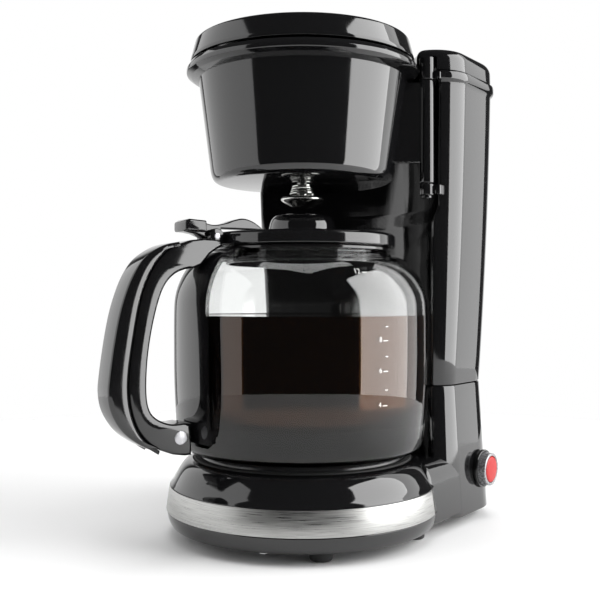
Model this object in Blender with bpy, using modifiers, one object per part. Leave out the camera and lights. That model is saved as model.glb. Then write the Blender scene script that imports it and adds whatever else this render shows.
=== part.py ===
"""Drip coffee maker, modelled in metres with +Z up. It stands on z = 0 and its front faces -Y.

Every shape is drawn round the drum's axis, in millimetres, and all hang from one empty
that is moved at the end so that the origin is the middle of the footprint.
"""

from math import acos, atan2, cos, degrees, hypot, radians, sin, sqrt, tau

import bmesh
import bpy
from mathutils import Vector

MM = 0.001
GAP = 0.3  # between pieces that rest on or in each other

# Driving dimensions, in millimetres and degrees.
WALL = 2.5  # plastic housings
DRUM_RADIUS = 83.6  # outside of the steel band, at its foot
BAND_TOP_RADIUS = 81.4
BAND_LOW = 15.4
BAND_HIGH = 30.3
BAND_THICKNESS = 0.6
BASE_LOW = 6.0
DECK_HEIGHT = 46.0  # top of the drum's shoulder
DECK_RADIUS = 67.0  # opening for the warming plate
PLATE_RADIUS = 63.0
PLATE_TOP = 50.0
FOOT_RADIUS = 6.5
SEAM_HEIGHT = 88.0  # where the tower stands on the base
TOWER_HALF_WIDTH = 80.0
TOWER_FRONT = 40.0
TOWER_REAR = 131.5
TOWER_TOP = 282.9
FRONT_CORNER = 25.0
REAR_CORNER = 39.5
HOLLOW_RADIUS = 80.0  # the tower's hollow front, round the jug
BASKET_HOLLOW_RADIUS = 84.0  # and round the basket
LEDGE_LOW = 190.0
LEDGE_HIGH = 200.0
LID_TOP = 297.5
LID_WALL = 2.0
LID_HOLLOW_RADIUS = 70.6
COVER_RADIUS = 69.0
COVER_LOW = 286.3
COVER_TOP = 302.0
TANK_LOW = 92.0
TANK_HIGH = 272.0
TANK_WALL = 1.8
BOWL_LOW = 213.5
BOWL_FLANGE_RADIUS = 71.3
BOWL_TOP = 285.0
BOWL_WALL = 2.5
HINGE_X = 64.0
HINGE_Y = 42.0
HINGE_RADIUS = 4.6
HINGE_PIN_RADIUS = 1.9
BRACKET_LOW = 206.0
BRACKET_HIGH = 277.0
STEM_RADIUS = 3.4
GLASS_WALL = 2.4
GLASS_FLOOR = 3.5
GLASS_RADIUS = 76.8
NECK_RADIUS = 51.5
NECK_TOP = 172.5
COLLAR_THICKNESS = 2.7
JUG_LID_RADIUS = 57.5
JUG_LID_LOW = 173.4
JUG_LID_TOP = 181.6
HANDLE_ANGLE = radians(248)  # direction of the handle, seen from above
HANDLE_WIDTH = 20.0
HANDLE_PIN = (63.5, 178.5)  # radius and height of the jug lid's hinge
BUTTON_Y = 95.0
BUTTON_Z = 31.5
BUTTON_RADIUS = 10.6
BUTTON_PROUD = 7.5


# ---------------------------------------------------------------- scene and materials


def clear_scene():
    for thing in list(bpy.data.objects):
        bpy.data.objects.remove(thing, do_unlink=True)


def make_collection(name):
    found = bpy.data.collections.new(name)
    bpy.context.scene.collection.children.link(found)
    return found


def make_material(name, colour, roughness, metallic=0.0, transmission=0.0):
    material = bpy.data.materials.new(name)
    material.use_nodes = True
    shader = material.node_tree.nodes["Principled BSDF"]
    shader.inputs["Base Color"].default_value = (*colour, 1)
    shader.inputs["Roughness"].default_value = roughness
    shader.inputs["Metallic"].default_value = metallic
    shader.inputs["Transmission Weight"].default_value = transmission
    material.diffuse_color = (*colour, 1)
    return material


def add_object(name, data, material=None, cutter=False):
    thing = bpy.data.objects.new(name, data)
    (CUTTERS if cutter else PARTS).objects.link(thing)
    if cutter:
        thing.hide_render = True
        thing.display_type = "WIRE"
    if material and thing.type in ("MESH", "CURVE"):
        data.materials.append(material)
    return thing


def add_empty(name, place):
    thing = add_object(name, None)
    thing.location = Vector(place) * MM
    return thing


def hang(pieces, empty, parent_place=(0, 0, 0)):
    """Parents pieces, modelled round the drum's axis, to an empty that stands on a joint's axis."""
    for piece in pieces:
        piece.parent = empty
        piece.location = -(empty.location + Vector(parent_place) * MM)


# ---------------------------------------------------------------- outlines


def clockwise(profile):
    """A profile in (radius, height) that runs down its outer side, as a Screw needs."""
    area = 0.0
    for (r0, z0), (r1, z1) in zip(profile, profile[1:] + profile[:1]):
        area += r0 * z1 - r1 * z0
    return profile if area < 0 else profile[::-1]


def arc(centre, radius, start, end, steps):
    """Points on an arc from start to end, in degrees."""
    found = []
    for step in range(steps + 1):
        turn = radians(start + (end - start) * step / steps)
        found.append((centre[0] + radius * cos(turn), centre[1] + radius * sin(turn)))
    return found


def smooth(points, spans=4):
    """A Catmull-Rom curve through the points, in any number of dimensions."""
    ends = [points[0], *points, points[-1]]
    found = []
    for p0, p1, p2, p3 in zip(ends, ends[1:], ends[2:], ends[3:]):
        for step in range(spans):
            t = step / spans
            found.append(
                tuple(
                    0.5 * (2 * b + (c - a) * t + (2 * a - 5 * b + 4 * c - d) * t**2 + (3 * b - a - 3 * c + d) * t**3)
                    for a, b, c, d in zip(p0, p1, p2, p3)
                )
            )
    return found + [tuple(points[-1])]


def beside(points, distance):
    """The points moved to the left of the way they run."""
    found = []
    for i, (x, y) in enumerate(points):
        x0, y0 = points[max(i - 1, 0)]
        x1, y1 = points[min(i + 1, len(points) - 1)]
        run = sqrt((x1 - x0) ** 2 + (y1 - y0) ** 2)
        found.append((x - distance * (y1 - y0) / run, y + distance * (x1 - x0) / run))
    return found


def tower_taper(height):
    """How far the tower's sides stand in from its widest section, at a height."""
    if height >= SEAM_HEIGHT:
        fall = max(0.0, 274 - height)
        return 0.01716 * fall + 0.0001303 * fall**2
    share = (SEAM_HEIGHT - height) / (SEAM_HEIGHT - BASE_LOW)
    return tower_taper(SEAM_HEIGHT) * (1 - share) + 2.5 * share


def hollow_at(height):
    """Radius of the tower's hollow front at a height."""
    share = min(1.0, max(0.0, (height - LEDGE_LOW) / (LEDGE_HIGH - LEDGE_LOW)))
    return HOLLOW_RADIUS + share * (BASKET_HOLLOW_RADIUS - HOLLOW_RADIUS)


def tower_plan(inset, hollow, wall=0.0, tip=1.5):
    """Outline of the tower, counter-clockwise, whose front is hollowed round the drum's axis.

    inset moves the outer sides in, wall moves every side towards the material's middle,
    and tip is how blunt the two wings end beside the hollow.
    """
    reach = inset + wall
    edge = hollow + wall
    side = TOWER_HALF_WIDTH - reach
    front = FRONT_CORNER - reach
    front_centre = (side - front, TOWER_FRONT + FRONT_CORNER)
    rear = REAR_CORNER - reach
    rear_centre = (side - rear, TOWER_REAR - REAR_CORNER)
    away = hypot(*front_centre)
    cosine = ((edge + tip) ** 2 - away**2 - front**2) / (2 * front * away)
    turn = atan2(front_centre[1], front_centre[0]) - acos(max(-1.0, min(1.0, cosine)))
    if turn < 0:
        right = arc(front_centre, front, degrees(turn), 0, 4)
    else:
        start = sqrt((edge + tip) ** 2 - side**2)
        end = max(front_centre[1], start + 1)
        right = [(side, start + (end - start) * step / 4) for step in range(5)]
    nose = degrees(atan2(right[0][1], right[0][0]) + tip / edge)
    right += arc(rear_centre, rear, 0, 90, 7)
    left = [(-x, y) for x, y in reversed(right)]
    return right + left + arc((0, 0), edge, 180 - nose, nose, 14)


def base_plan(inset, front):
    """Outline of the base's rear box without its hollow, from y = front to the rear."""
    side = TOWER_HALF_WIDTH - inset
    rear = REAR_CORNER - inset
    rear_centre = (side - rear, TOWER_REAR - REAR_CORNER)
    right = [(side, front)] + arc(rear_centre, rear, 0, 90, 8)
    return right + [(-x, y) for x, y in reversed(right)]


# ---------------------------------------------------------------- shapes


def turned(name, profile, material=None, steps=28, centre=(0, 0), cutter=False):
    """A solid of revolution about a vertical axis. The profile is closed, or ends on the axis."""
    points = clockwise(profile)
    solid = any(r == 0 for r, _ in points)
    if solid:  # begin at the top of the axis, so that the chain ends at its foot
        top = max((i for i, (r, _) in enumerate(points) if r == 0), key=lambda i: points[i][1])
        points = points[top:] + points[:top]
    mesh = bpy.data.meshes.new(name)
    edges = [(i, i + 1) for i in range(len(points) - 1)]
    if not solid:
        edges.append((len(points) - 1, 0))
    mesh.from_pydata([(r * MM, 0, z * MM) for r, z in points], edges, [])
    thing = add_object(name, mesh, material, cutter)
    screw = thing.modifiers.new("Turn", "SCREW")
    screw.steps = steps
    screw.render_steps = steps
    screw.use_merge_vertices = True
    screw.merge_threshold = 0.00001
    screw.use_smooth_shade = True
    return moved(baked(thing), (*centre, 0))


def baked(thing):
    """The object with its modifiers made part of its mesh."""
    graph = bpy.context.evaluated_depsgraph_get()
    mesh = bpy.data.meshes.new_from_object(thing.evaluated_get(graph))
    thing.modifiers.clear()
    thing.data = mesh
    return thing


def moved(thing, place):
    for vertex in thing.data.vertices:
        vertex.co += Vector(place) * MM
    return thing


def loft(name, sections, material=None, cutter=False):
    """A closed solid through sections of equally many points, each a height and an outline."""
    build = bmesh.new()
    rings = []
    for height, outline in sections:
        rings.append([build.verts.new((x * MM, y * MM, height * MM)) for x, y in outline])
    count = len(rings[0])
    for low, high in zip(rings, rings[1:]):
        for i in range(count):
            j = (i + 1) % count
            build.faces.new((low[i], low[j], high[j], high[i]))
    build.faces.new(rings[0][::-1])
    build.faces.new(rings[-1])
    bmesh.ops.recalc_face_normals(build, faces=build.faces)
    mesh = bpy.data.meshes.new(name)
    build.to_mesh(mesh)
    build.free()
    return add_object(name, mesh, material, cutter)


def block(name, low, high, material=None, bevel=0.0, cutter=False):
    build = bmesh.new()
    bmesh.ops.create_cube(build, size=1.0)
    size = [(b - a) * MM for a, b in zip(low, high)]
    middle = [(a + b) / 2 * MM for a, b in zip(low, high)]
    bmesh.ops.scale(build, vec=size, verts=build.verts)
    bmesh.ops.translate(build, vec=middle, verts=build.verts)
    mesh = bpy.data.meshes.new(name)
    build.to_mesh(mesh)
    build.free()
    thing = add_object(name, mesh, material, cutter)
    if bevel:
        edge = thing.modifiers.new("Edges", "BEVEL")
        edge.width = bevel * MM
        edge.segments = 2
        baked(thing)
    return thing


def rod(name, start, end, radius, material=None, steps=24, cutter=False):
    """A cylinder between two points."""
    start, end = Vector(start), Vector(end)
    build = bmesh.new()
    bmesh.ops.create_cone(
        build, cap_ends=True, segments=steps, radius1=radius * MM, radius2=radius * MM, depth=(end - start).length * MM
    )
    turn = (end - start).to_track_quat("Z", "Y").to_matrix().to_4x4()
    turn.translation = (start + end) / 2 * MM
    bmesh.ops.transform(build, matrix=turn, verts=build.verts)
    mesh = bpy.data.meshes.new(name)
    build.to_mesh(mesh)
    build.free()
    return add_object(name, mesh, material, cutter)


def tube(name, points, radius, material=None, cutter=False):
    """A round tube along points, as a mesh."""
    curve = bpy.data.curves.new(name, "CURVE")
    curve.dimensions = "3D"
    curve.bevel_depth = radius * MM
    curve.bevel_resolution = 1
    curve.use_fill_caps = True
    spline = curve.splines.new("POLY")
    spline.points.add(len(points) - 1)
    for point, place in zip(spline.points, points):
        point.co = (*(Vector(place) * MM), 1)
    return from_curve(name, curve, material, cutter)


def slab(name, outline, low, high, material=None, edge=0.0, cutter=False):
    """A flat outline in the handle's upright plane, in (radius, height), thick from low to high."""
    curve = bpy.data.curves.new(name, "CURVE")
    curve.dimensions = "2D"
    curve.fill_mode = "BOTH"
    curve.extrude = ((high - low) / 2 - edge) * MM
    curve.bevel_depth = edge * MM
    curve.offset = -edge * MM
    curve.bevel_resolution = 0
    spline = curve.splines.new("POLY")
    spline.use_cyclic_u = True
    spline.points.add(len(outline) - 1)
    for point, (r, z) in zip(spline.points, outline):
        point.co = (r * MM, z * MM, 0, 1)
    thing = from_curve(name, curve, material, cutter)
    middle = (low + high) / 2 * MM
    for vertex in thing.data.vertices:
        r, z, across = vertex.co
        vertex.co = in_handle_plane(r, z, -(across) + middle)
    faces_out(thing)
    return thing


def in_handle_plane(r, z, across):
    """The place at a radius and a height along the handle, and across it towards the front right."""
    away = Vector((cos(HANDLE_ANGLE), sin(HANDLE_ANGLE), 0))
    side = Vector((-sin(HANDLE_ANGLE), cos(HANDLE_ANGLE), 0))
    return away * r + side * across + Vector((0, 0, z))


def from_curve(name, curve, material, cutter):
    """The mesh of a curve with its caps welded."""
    guide = bpy.data.objects.new(name + "_guide", curve)
    CUTTERS.objects.link(guide)
    graph = bpy.context.evaluated_depsgraph_get()
    mesh = bpy.data.meshes.new_from_object(guide.evaluated_get(graph))
    bpy.data.objects.remove(guide)
    mesh.name = name
    thing = add_object(name, mesh, material, cutter)
    faces_out(thing)
    return thing


def weld(thing):
    """Merges points that a Boolean left within a few microns of each other."""
    build = bmesh.new()
    build.from_mesh(thing.data)
    bmesh.ops.remove_doubles(build, verts=build.verts, dist=0.000003)
    bmesh.ops.dissolve_degenerate(build, edges=build.edges, dist=0.000003)
    build.to_mesh(thing.data)
    build.free()


def faces_out(thing):
    build = bmesh.new()
    build.from_mesh(thing.data)
    bmesh.ops.remove_doubles(build, verts=build.verts, dist=0.000001)
    bmesh.ops.recalc_face_normals(build, faces=build.faces)
    build.to_mesh(thing.data)
    build.free()


def combine(thing, others, operation):
    """Joins other meshes to a piece, or cuts them from it, and hides them."""
    for other in others:
        change = thing.modifiers.new(other.name, "BOOLEAN")
        change.operation = operation
        change.object = other
    baked(thing)
    weld(thing)
    for other in others:
        bpy.data.objects.remove(other)
    return thing


def cut(thing, *others):
    return combine(thing, others, "DIFFERENCE")


def join(thing, *others):
    return combine(thing, others, "UNION")


# ---------------------------------------------------------------- base


def band_radius(height):
    share = (height - BAND_LOW) / (BAND_HIGH - BAND_LOW)
    return DRUM_RADIUS + share * (BAND_TOP_RADIUS - DRUM_RADIUS)


def drum_profile(inset, low):
    """The drum's outline in (radius, height), moved in by a wall, from its deck down."""
    seat = BAND_THICKNESS + GAP
    top = [(0, DECK_HEIGHT), (70, DECK_HEIGHT - 1), (75, 40), (79, 33), (BAND_TOP_RADIUS - 0.2, BAND_HIGH)]
    groove = [(BAND_TOP_RADIUS - seat, BAND_HIGH - 0.01), (DRUM_RADIUS - seat, BAND_LOW + 0.01)]
    foot = [(83.0, BAND_LOW), (82, 11), (80.8, 8), (79, BASE_LOW)]
    if not inset:
        return top + groove + foot + [(0, BASE_LOW)]
    inside = [(0, DECK_HEIGHT - inset), (69, DECK_HEIGHT - inset - 1), (75 - inset, 39), (79 - inset, 31)]
    return inside + [(79.3 - inset, 26), (79.3 - inset, low), (0, low)]


def shoulder_block(inset):
    """Sections of the block that joins the drum to the rear box, moved in by a wall."""
    low = BASE_LOW - 4 if inset else BASE_LOW
    sections = []
    for height, back, front in ((low, 0, 22), (34, 0, 22), (41, 2.6, 25), (44, 7.6, 30)):
        side = flank_at(max(height, BASE_LOW)) - back - inset - 0.06
        outline = [(side, front), (side, 95), (-side, 95), (-side, front)]
        sections.append((height - (inset if height > low else 0), outline))
    return sections


def make_base():
    base = turned("base_housing", drum_profile(0, 0), BLACK, 32)
    heights = (BASE_LOW, SEAM_HEIGHT)
    box = loft(
        "box", [(z, tower_plan(tower_taper(z), HOLLOW_RADIUS)) for z in heights], cutter=True
    )
    join(base, loft("low_front", shoulder_block(0), cutter=True), box)
    below = BASE_LOW - 4
    inside = turned("inside", drum_profile(WALL, below), steps=28, cutter=True)
    hole_heights = (below, SEAM_HEIGHT, SEAM_HEIGHT + 4)
    box_hole = loft(
        "box_hole", [(z, tower_plan(tower_taper(z), HOLLOW_RADIUS, WALL)) for z in hole_heights], cutter=True
    )
    rear_hole = loft("rear_hole", shoulder_block(WALL), cutter=True)
    opening = rod("opening", (0, 0, DECK_HEIGHT - 10), (0, 0, DECK_HEIGHT + 10), DECK_RADIUS, steps=28, cutter=True)
    cut(base, inside, box_hole, rear_hole, opening)
    for x, y in SCREW_PLACES:
        boss = rod("boss", (x, y, BASE_LOW + COVER_PLATE + 2 * GAP + 0.2), (x, y, 34), 4.5, steps=10, cutter=True)
        join(base, boss)
        cut(base, rod("pilot", (x, y, 0), (x, y, 26), SCREW_RADIUS + GAP, steps=8, cutter=True))
    x = flank_at(BUTTON_Z)
    cut(
        base,
        rod("switch_hole", (x - 20, BUTTON_Y, BUTTON_Z), (x + 20, BUTTON_Y, BUTTON_Z), BEZEL_RADIUS - 1.0, cutter=True),
        rod("gland_hole", (GLAND_X, 100, GLAND_Z), (GLAND_X, 150, GLAND_Z), GLAND_RADIUS + GAP, cutter=True),
    )
    return base


COVER_PLATE = 2.2
SCREW_RADIUS = 1.4
SCREW_PLACES = [(24, -69), (-24, -69), (71.2, 80), (-71.2, 80)]
FOOT_PLACES = [(47.5, -48.5), (-47.5, -48.5), (66, 22), (-66, 22), (45, 112), (-45, 112)]
BEZEL_RADIUS = 12.3
GLAND_X = -30.0
GLAND_Z = 22.0
GLAND_RADIUS = 5.5


def flank_at(height):
    return TOWER_HALF_WIDTH - tower_taper(height)


def make_band():
    low, high = BAND_LOW + GAP, BAND_HIGH - GAP
    profile = [
        (band_radius(high), high),
        (band_radius(low), low),
        (band_radius(low) - BAND_THICKNESS, low),
        (band_radius(high) - BAND_THICKNESS, high),
    ]
    band = turned("base_band", profile, STEEL, 32)
    reach = 120
    behind = block("behind", (-reach, 21.5 - GAP, 0), (reach, reach, 60), cutter=True)
    return cut(band, behind)


def make_bottom():
    low = BASE_LOW + 0.5
    inset = WALL + GAP
    cover = turned("bottom_cover", [(0, low + COVER_PLATE), (78.9 - inset, low + COVER_PLATE), (78.9 - inset, low), (0, low)], BLACK, 32)
    tail = [(z, base_plan(2.5 + inset + 0.4, 22)) for z in (low, low + COVER_PLATE)]
    join(cover, loft("tail", tail, cutter=True))
    holes = [
        rod("hole", (x, y, 0), (x, y, 20), SCREW_RADIUS + GAP, steps=8, cutter=True) for x, y in SCREW_PLACES
    ]
    cut(cover, *holes)
    pieces = [cover]
    for number, (x, y) in enumerate(SCREW_PLACES, 1):
        head = low - GAP
        profile = [(0, 24), (SCREW_RADIUS, 24), (SCREW_RADIUS, head), (3.2, head), (3.2, head - 1.4), (0, head - 1.8)]
        pieces.append(turned(f"bottom_screw_{number}", profile, ZINC, 8, (x, y)))
    for number, (x, y) in enumerate(FOOT_PLACES, 1):
        top = low - GAP
        profile = [(0, top), (FOOT_RADIUS, top), (FOOT_RADIUS, 1), (FOOT_RADIUS - 1, 0), (0, 0)]
        pieces.append(turned(f"foot_{number}", profile, RUBBER, 14, (x, y)))
    return pieces


def make_plate():
    edge = PLATE_RADIUS
    profile = [
        (0, PLATE_TOP),
        (edge - 1.5, PLATE_TOP),
        (edge, PLATE_TOP - 1.5),
        (edge, 41),
        (edge - 1.2, 41),
        (edge - 1.2, PLATE_TOP - 1.8),
        (edge - 2, PLATE_TOP - 1.2),
        (0, PLATE_TOP - 1.2),
    ]
    plate = turned("warming_plate", profile, ENAMEL, 28)
    seal_in, seal_out = edge + GAP, DECK_RADIUS - GAP
    seal = turned("plate_seal", [(seal_in, 46.8), (seal_out, 46.8), (seal_out, 42), (seal_in, 42)], RUBBER, 28)
    return [plate, seal]


def ring_route(radius, height, lead):
    """A heating loop: two leads that rise at the rear, and most of a circle between them."""
    loop = [(radius * cos(radians(a)), radius * sin(radians(a)), height) for a in range(110, 431, 32)]
    first, last = loop[0], loop[-1]
    return [*[(first[0], first[1] + 3, z) for z in (lead, lead + 6)], *loop, *[(last[0], last[1] + 3, z) for z in (lead + 6, lead)]]


def make_heater():
    rod_height, tube_height = 44.3, 43.9
    heater = tube("heater_rod", ring_route(40, rod_height, 26), 3.6, ALUMINIUM)
    water = tube("heater_tube", ring_route(51, tube_height, 20), 4.0, ALUMINIUM)
    clamp = block("heater_clamp", (-9, -57, 36.5), (9, -34, 39.6), ZINC, 0.5)
    stat = rod("thermostat", (-26, 0, 30), (-26, 0, 39), 8, ZINC, 16)
    fuse = rod("thermal_fuse", (20, -8, 40), (20, 10, 40), 2.5, ZINC, 8)
    return [heater, water, clamp, stat, fuse]


def make_water_path():
    inlet_foot = ring_route(51, 0, 20)[-1]
    outlet_foot = ring_route(51, 0, 20)[0]
    inlet = smooth(
        [(OUTLET_X, PIPE_Y, 74), (OUTLET_X, PIPE_Y, 60), (OUTLET_X - 2, PIPE_Y - 2, 38), (26, 82, 20), (inlet_foot[0] + 1, 62, 14.8), (inlet_foot[0], inlet_foot[1], 14.6)],
        2,
    )
    rise = smooth(
        [(outlet_foot[0], outlet_foot[1], 15.2), (outlet_foot[0] + 1, 62, 15), (-8, 86, 17), (0, PIPE_Y, 34), (0, PIPE_Y, 60), (0, PIPE_Y, 170), (0, PIPE_Y, CHANNEL_LOW - 4)],
        2,
    )
    hose = tube("inlet_hose", inlet, 5, SILICONE)
    riser = tube("riser_tube", rise, RISER_RADIUS, SILICONE)
    valve = turned(
        "check_valve",
        [(0, TANK_LOW - GAP), (4, TANK_LOW - GAP), (4, 89), (7, 88), (7, 77), (4, 75.5), (4, 74.6), (0, 74.6)],
        WHITE,
        14,
        (OUTLET_X, PIPE_Y),
    )
    return [hose, riser, valve]


PIPE_Y = 98.0
OUTLET_X = 32.0
RISER_RADIUS = 5.0
CHANNEL_LOW = 286.5
CHANNEL_HIGH = 290.5
CHANNEL_HALF_WIDTH = 16.0


# ---------------------------------------------------------------- tower


TOWER_STEPS = (SEAM_HEIGHT + GAP, 135, LEDGE_LOW, LEDGE_HIGH, 272)
LID_AXIS = (134.0, 290.0)  # y and z
LID_LUG_X = 27.0
LID_POST_X = 33.0


def make_tower():
    sections = [(z, tower_plan(tower_taper(z), hollow_at(z))) for z in TOWER_STEPS]
    rim = [(276, 0.0), (278.5, -2.0), (TOWER_TOP, -1.6)]
    sections += [(z, tower_plan(inset, BASKET_HOLLOW_RADIUS)) for z, inset in rim]
    tower = loft("tower_housing", sections, BLACK)
    holes = [(SEAM_HEIGHT - 4, tower_plan(tower_taper(SEAM_HEIGHT), hollow_at(SEAM_HEIGHT), WALL))]
    holes += [(z, tower_plan(tower_taper(z), hollow_at(z), WALL)) for z in TOWER_STEPS[2:]]
    holes.append((TOWER_TOP + 5, tower_plan(0, BASKET_HOLLOW_RADIUS, WALL)))
    cut(tower, loft("tower_hole", holes, cutter=True))
    for low, high, arm_high in ((BRACKET_LOW, 213.0, 213.0), (BRACKET_HIGH, 290.8, TOWER_TOP - 0.5)):
        knuckle = rod("knuckle", (HINGE_X, HINGE_Y, low), (HINGE_X, HINGE_Y, high), HINGE_RADIUS, steps=16, cutter=True)
        arm_low = (HINGE_X - 1, HINGE_Y + 1.0, low + 0.4)
        arm = block("arm", arm_low, (HINGE_X + 8.5, HINGE_Y + 7.5, arm_high - 0.4), cutter=True)
        join(tower, knuckle, arm)
    bore = rod("bore", (HINGE_X, HINGE_Y, BRACKET_LOW - 5), (HINGE_X, HINGE_Y, 289), HINGE_PIN_RADIUS + GAP, steps=12, cutter=True)
    cut(tower, bore)
    y, z = LID_AXIS
    for side in (-1, 1):
        x = side * LID_POST_X
        eye = rod("eye", (x - 2.2, y, z), (x + 2.2, y, z), 2.2, steps=12, cutter=True)
        post = block("post", (x - 1.8, TOWER_REAR + 0.3, 274), (x + 1.8, y + 1.8, z), cutter=True)
        join(tower, eye, post)
    cut(tower, rod("lid_bore", (-60, y, z), (60, y, z), LID_PIN_RADIUS + GAP, steps=8, cutter=True))
    pin = turned(
        "hinge_pin",
        [(0, 288.5), (HINGE_PIN_RADIUS, 288.5), (HINGE_PIN_RADIUS, BRACKET_LOW - GAP), (3.2, BRACKET_LOW - GAP), (3.2, BRACKET_LOW - 1.8), (0, BRACKET_LOW - 1.8)],
        ZINC,
        12,
        (HINGE_X, HINGE_Y),
    )
    return [tower, pin]


LID_PIN_RADIUS = 1.1


def make_tank():
    inset = WALL + 1.0
    steps = (TANK_LOW, LEDGE_LOW, LEDGE_HIGH, TANK_HIGH)
    tank = loft("reservoir_tank", [(z, tower_plan(tower_taper(z), hollow_at(z), inset)) for z in steps], WATER_CLEAR)
    inner = inset + TANK_WALL
    holes = [(TANK_LOW + TANK_WALL, tower_plan(tower_taper(TANK_LOW), hollow_at(TANK_LOW), inner))]
    holes += [(z, tower_plan(tower_taper(z), hollow_at(z), inner)) for z in steps[1:-1]]
    holes.append((TANK_HIGH + 5, tower_plan(0, BASKET_HOLLOW_RADIUS, inner)))
    cut(tank, loft("tank_hole", holes, cutter=True))
    cut(
        tank,
        rod("outlet", (OUTLET_X, PIPE_Y, 80), (OUTLET_X, PIPE_Y, 100), 3, steps=12, cutter=True),
        rod("riser_way", (0, PIPE_Y, 80), (0, PIPE_Y, 100), RISER_RADIUS + GAP, steps=12, cutter=True),
    )
    return tank


def make_water_channel():
    """The trough from the riser to the pan over the filter, and the pan's spray holes."""
    low, high, half = CHANNEL_LOW, CHANNEL_HIGH, CHANNEL_HALF_WIDTH
    pan, wall = 30.0, 1.5
    channel = block("water_channel", (-half, 0, low), (half, PIPE_Y + 9, high), BLACK)
    join(channel, rod("pan", (0, 0, low), (0, 0, high), pan, steps=24, cutter=True))
    trough = block("trough", (-half + wall, 0, low + wall), (half - wall, PIPE_Y + 9 - wall, high + 5), cutter=True)
    hollow = rod("hollow", (0, 0, low + wall), (0, 0, high + 5), pan - wall, steps=24, cutter=True)
    cut(channel, trough, hollow)
    ways = [rod("riser_end", (0, PIPE_Y, low - 5), (0, PIPE_Y, high), RISER_RADIUS - 1, steps=12, cutter=True)]
    for number in range(6):
        turn = tau * number / 6
        x, y = 17 * cos(turn), 17 * sin(turn)
        ways.append(rod("spray", (x, y, low - 5), (x, y, high), 1.8, steps=8, cutter=True))
    return cut(channel, *ways)


def make_top_cover():
    edge, low, top, wall = COVER_RADIUS, COVER_LOW, COVER_TOP, 2.2
    outside = [(0, top), (40, top - 0.4), (60, top - 1.2), (64.6, top - 2.1), (66.6, top - 4.2), (edge - 0.2, low + 1.2), (edge, low)]
    inside = [(edge - wall, low), (64.8, top - 6), (62, top - 4.6), (0, top - wall)]
    cover = turned("top_cover", outside + inside, BLACK, 28)
    half = CHANNEL_HALF_WIDTH + GAP
    return cut(cover, block("notch", (-half, 40, low - 5), (half, 90, CHANNEL_HIGH + GAP), cutter=True))


def lid_plan(inset, wall=0.0):
    return tower_plan(inset, LID_HOLLOW_RADIUS, wall)


def make_reservoir_lid():
    low = TOWER_TOP + 0.5
    outer = [(low, 0.0), (292, 0.2), (LID_TOP - 2.2, 1.2), (LID_TOP - 0.7, 3.0), (LID_TOP, 6.0)]
    lid = loft("reservoir_lid", [(z, lid_plan(inset)) for z, inset in outer], BLACK)
    inner = [(low - 5, lid_plan(0, LID_WALL)), (LID_TOP - LID_WALL, lid_plan(2.4, LID_WALL))]
    cut(lid, loft("lid_hole", inner, cutter=True))
    half = CHANNEL_HALF_WIDTH + GAP
    notches = [block("front_notch", (-half, 60, low - 5), (half, 90, CHANNEL_HIGH + GAP), cutter=True)]
    for side in (-1, 1):
        x = side * HINGE_X
        notches.append(rod("clear_hinge", (x, HINGE_Y, low - 5), (x, HINGE_Y, 291.6), HINGE_RADIUS + 1.6, steps=14, cutter=True))
    cut(lid, *notches)
    y, z = LID_AXIS
    for side in (-1, 1):
        x = side * LID_LUG_X
        lug = rod("lug", (x - 3, y, z), (x + 3, y, z), 2.4, steps=12, cutter=True)
        root = block("root", (x - 3, TOWER_REAR - 1.5, z - 2.4), (x + 3, y, z + 2.4), cutter=True)
        join(lid, lug, root)
    cut(lid, rod("lug_bore", (-60, y, z), (60, y, z), LID_PIN_RADIUS + GAP, steps=8, cutter=True))
    end = LID_POST_X + 2.2
    pin = rod("lid_hinge_pin", (-end, y, z), (end, y, z), LID_PIN_RADIUS, ZINC, 8)
    return [lid, pin]


# ---------------------------------------------------------------- basket and drip stop


def bowl_outside():
    return [(50, BOWL_LOW), (54, BOWL_LOW + 1), (56.5, BOWL_LOW + 4.5), (57.4, 225), (63.9, 276)]


def hinge_web(inner):
    """Outline of the plate that joins the bowl to its hinge barrel, from a radius outwards."""
    turn = atan2(HINGE_Y, HINGE_X)
    away = Vector((cos(turn), sin(turn)))
    side = Vector((-sin(turn), cos(turn))) * 2.6
    outer = 76.0
    corners = [away * inner - side, away * outer - side, away * outer + side, away * inner + side]
    return [tuple(corner) for corner in corners]


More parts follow.
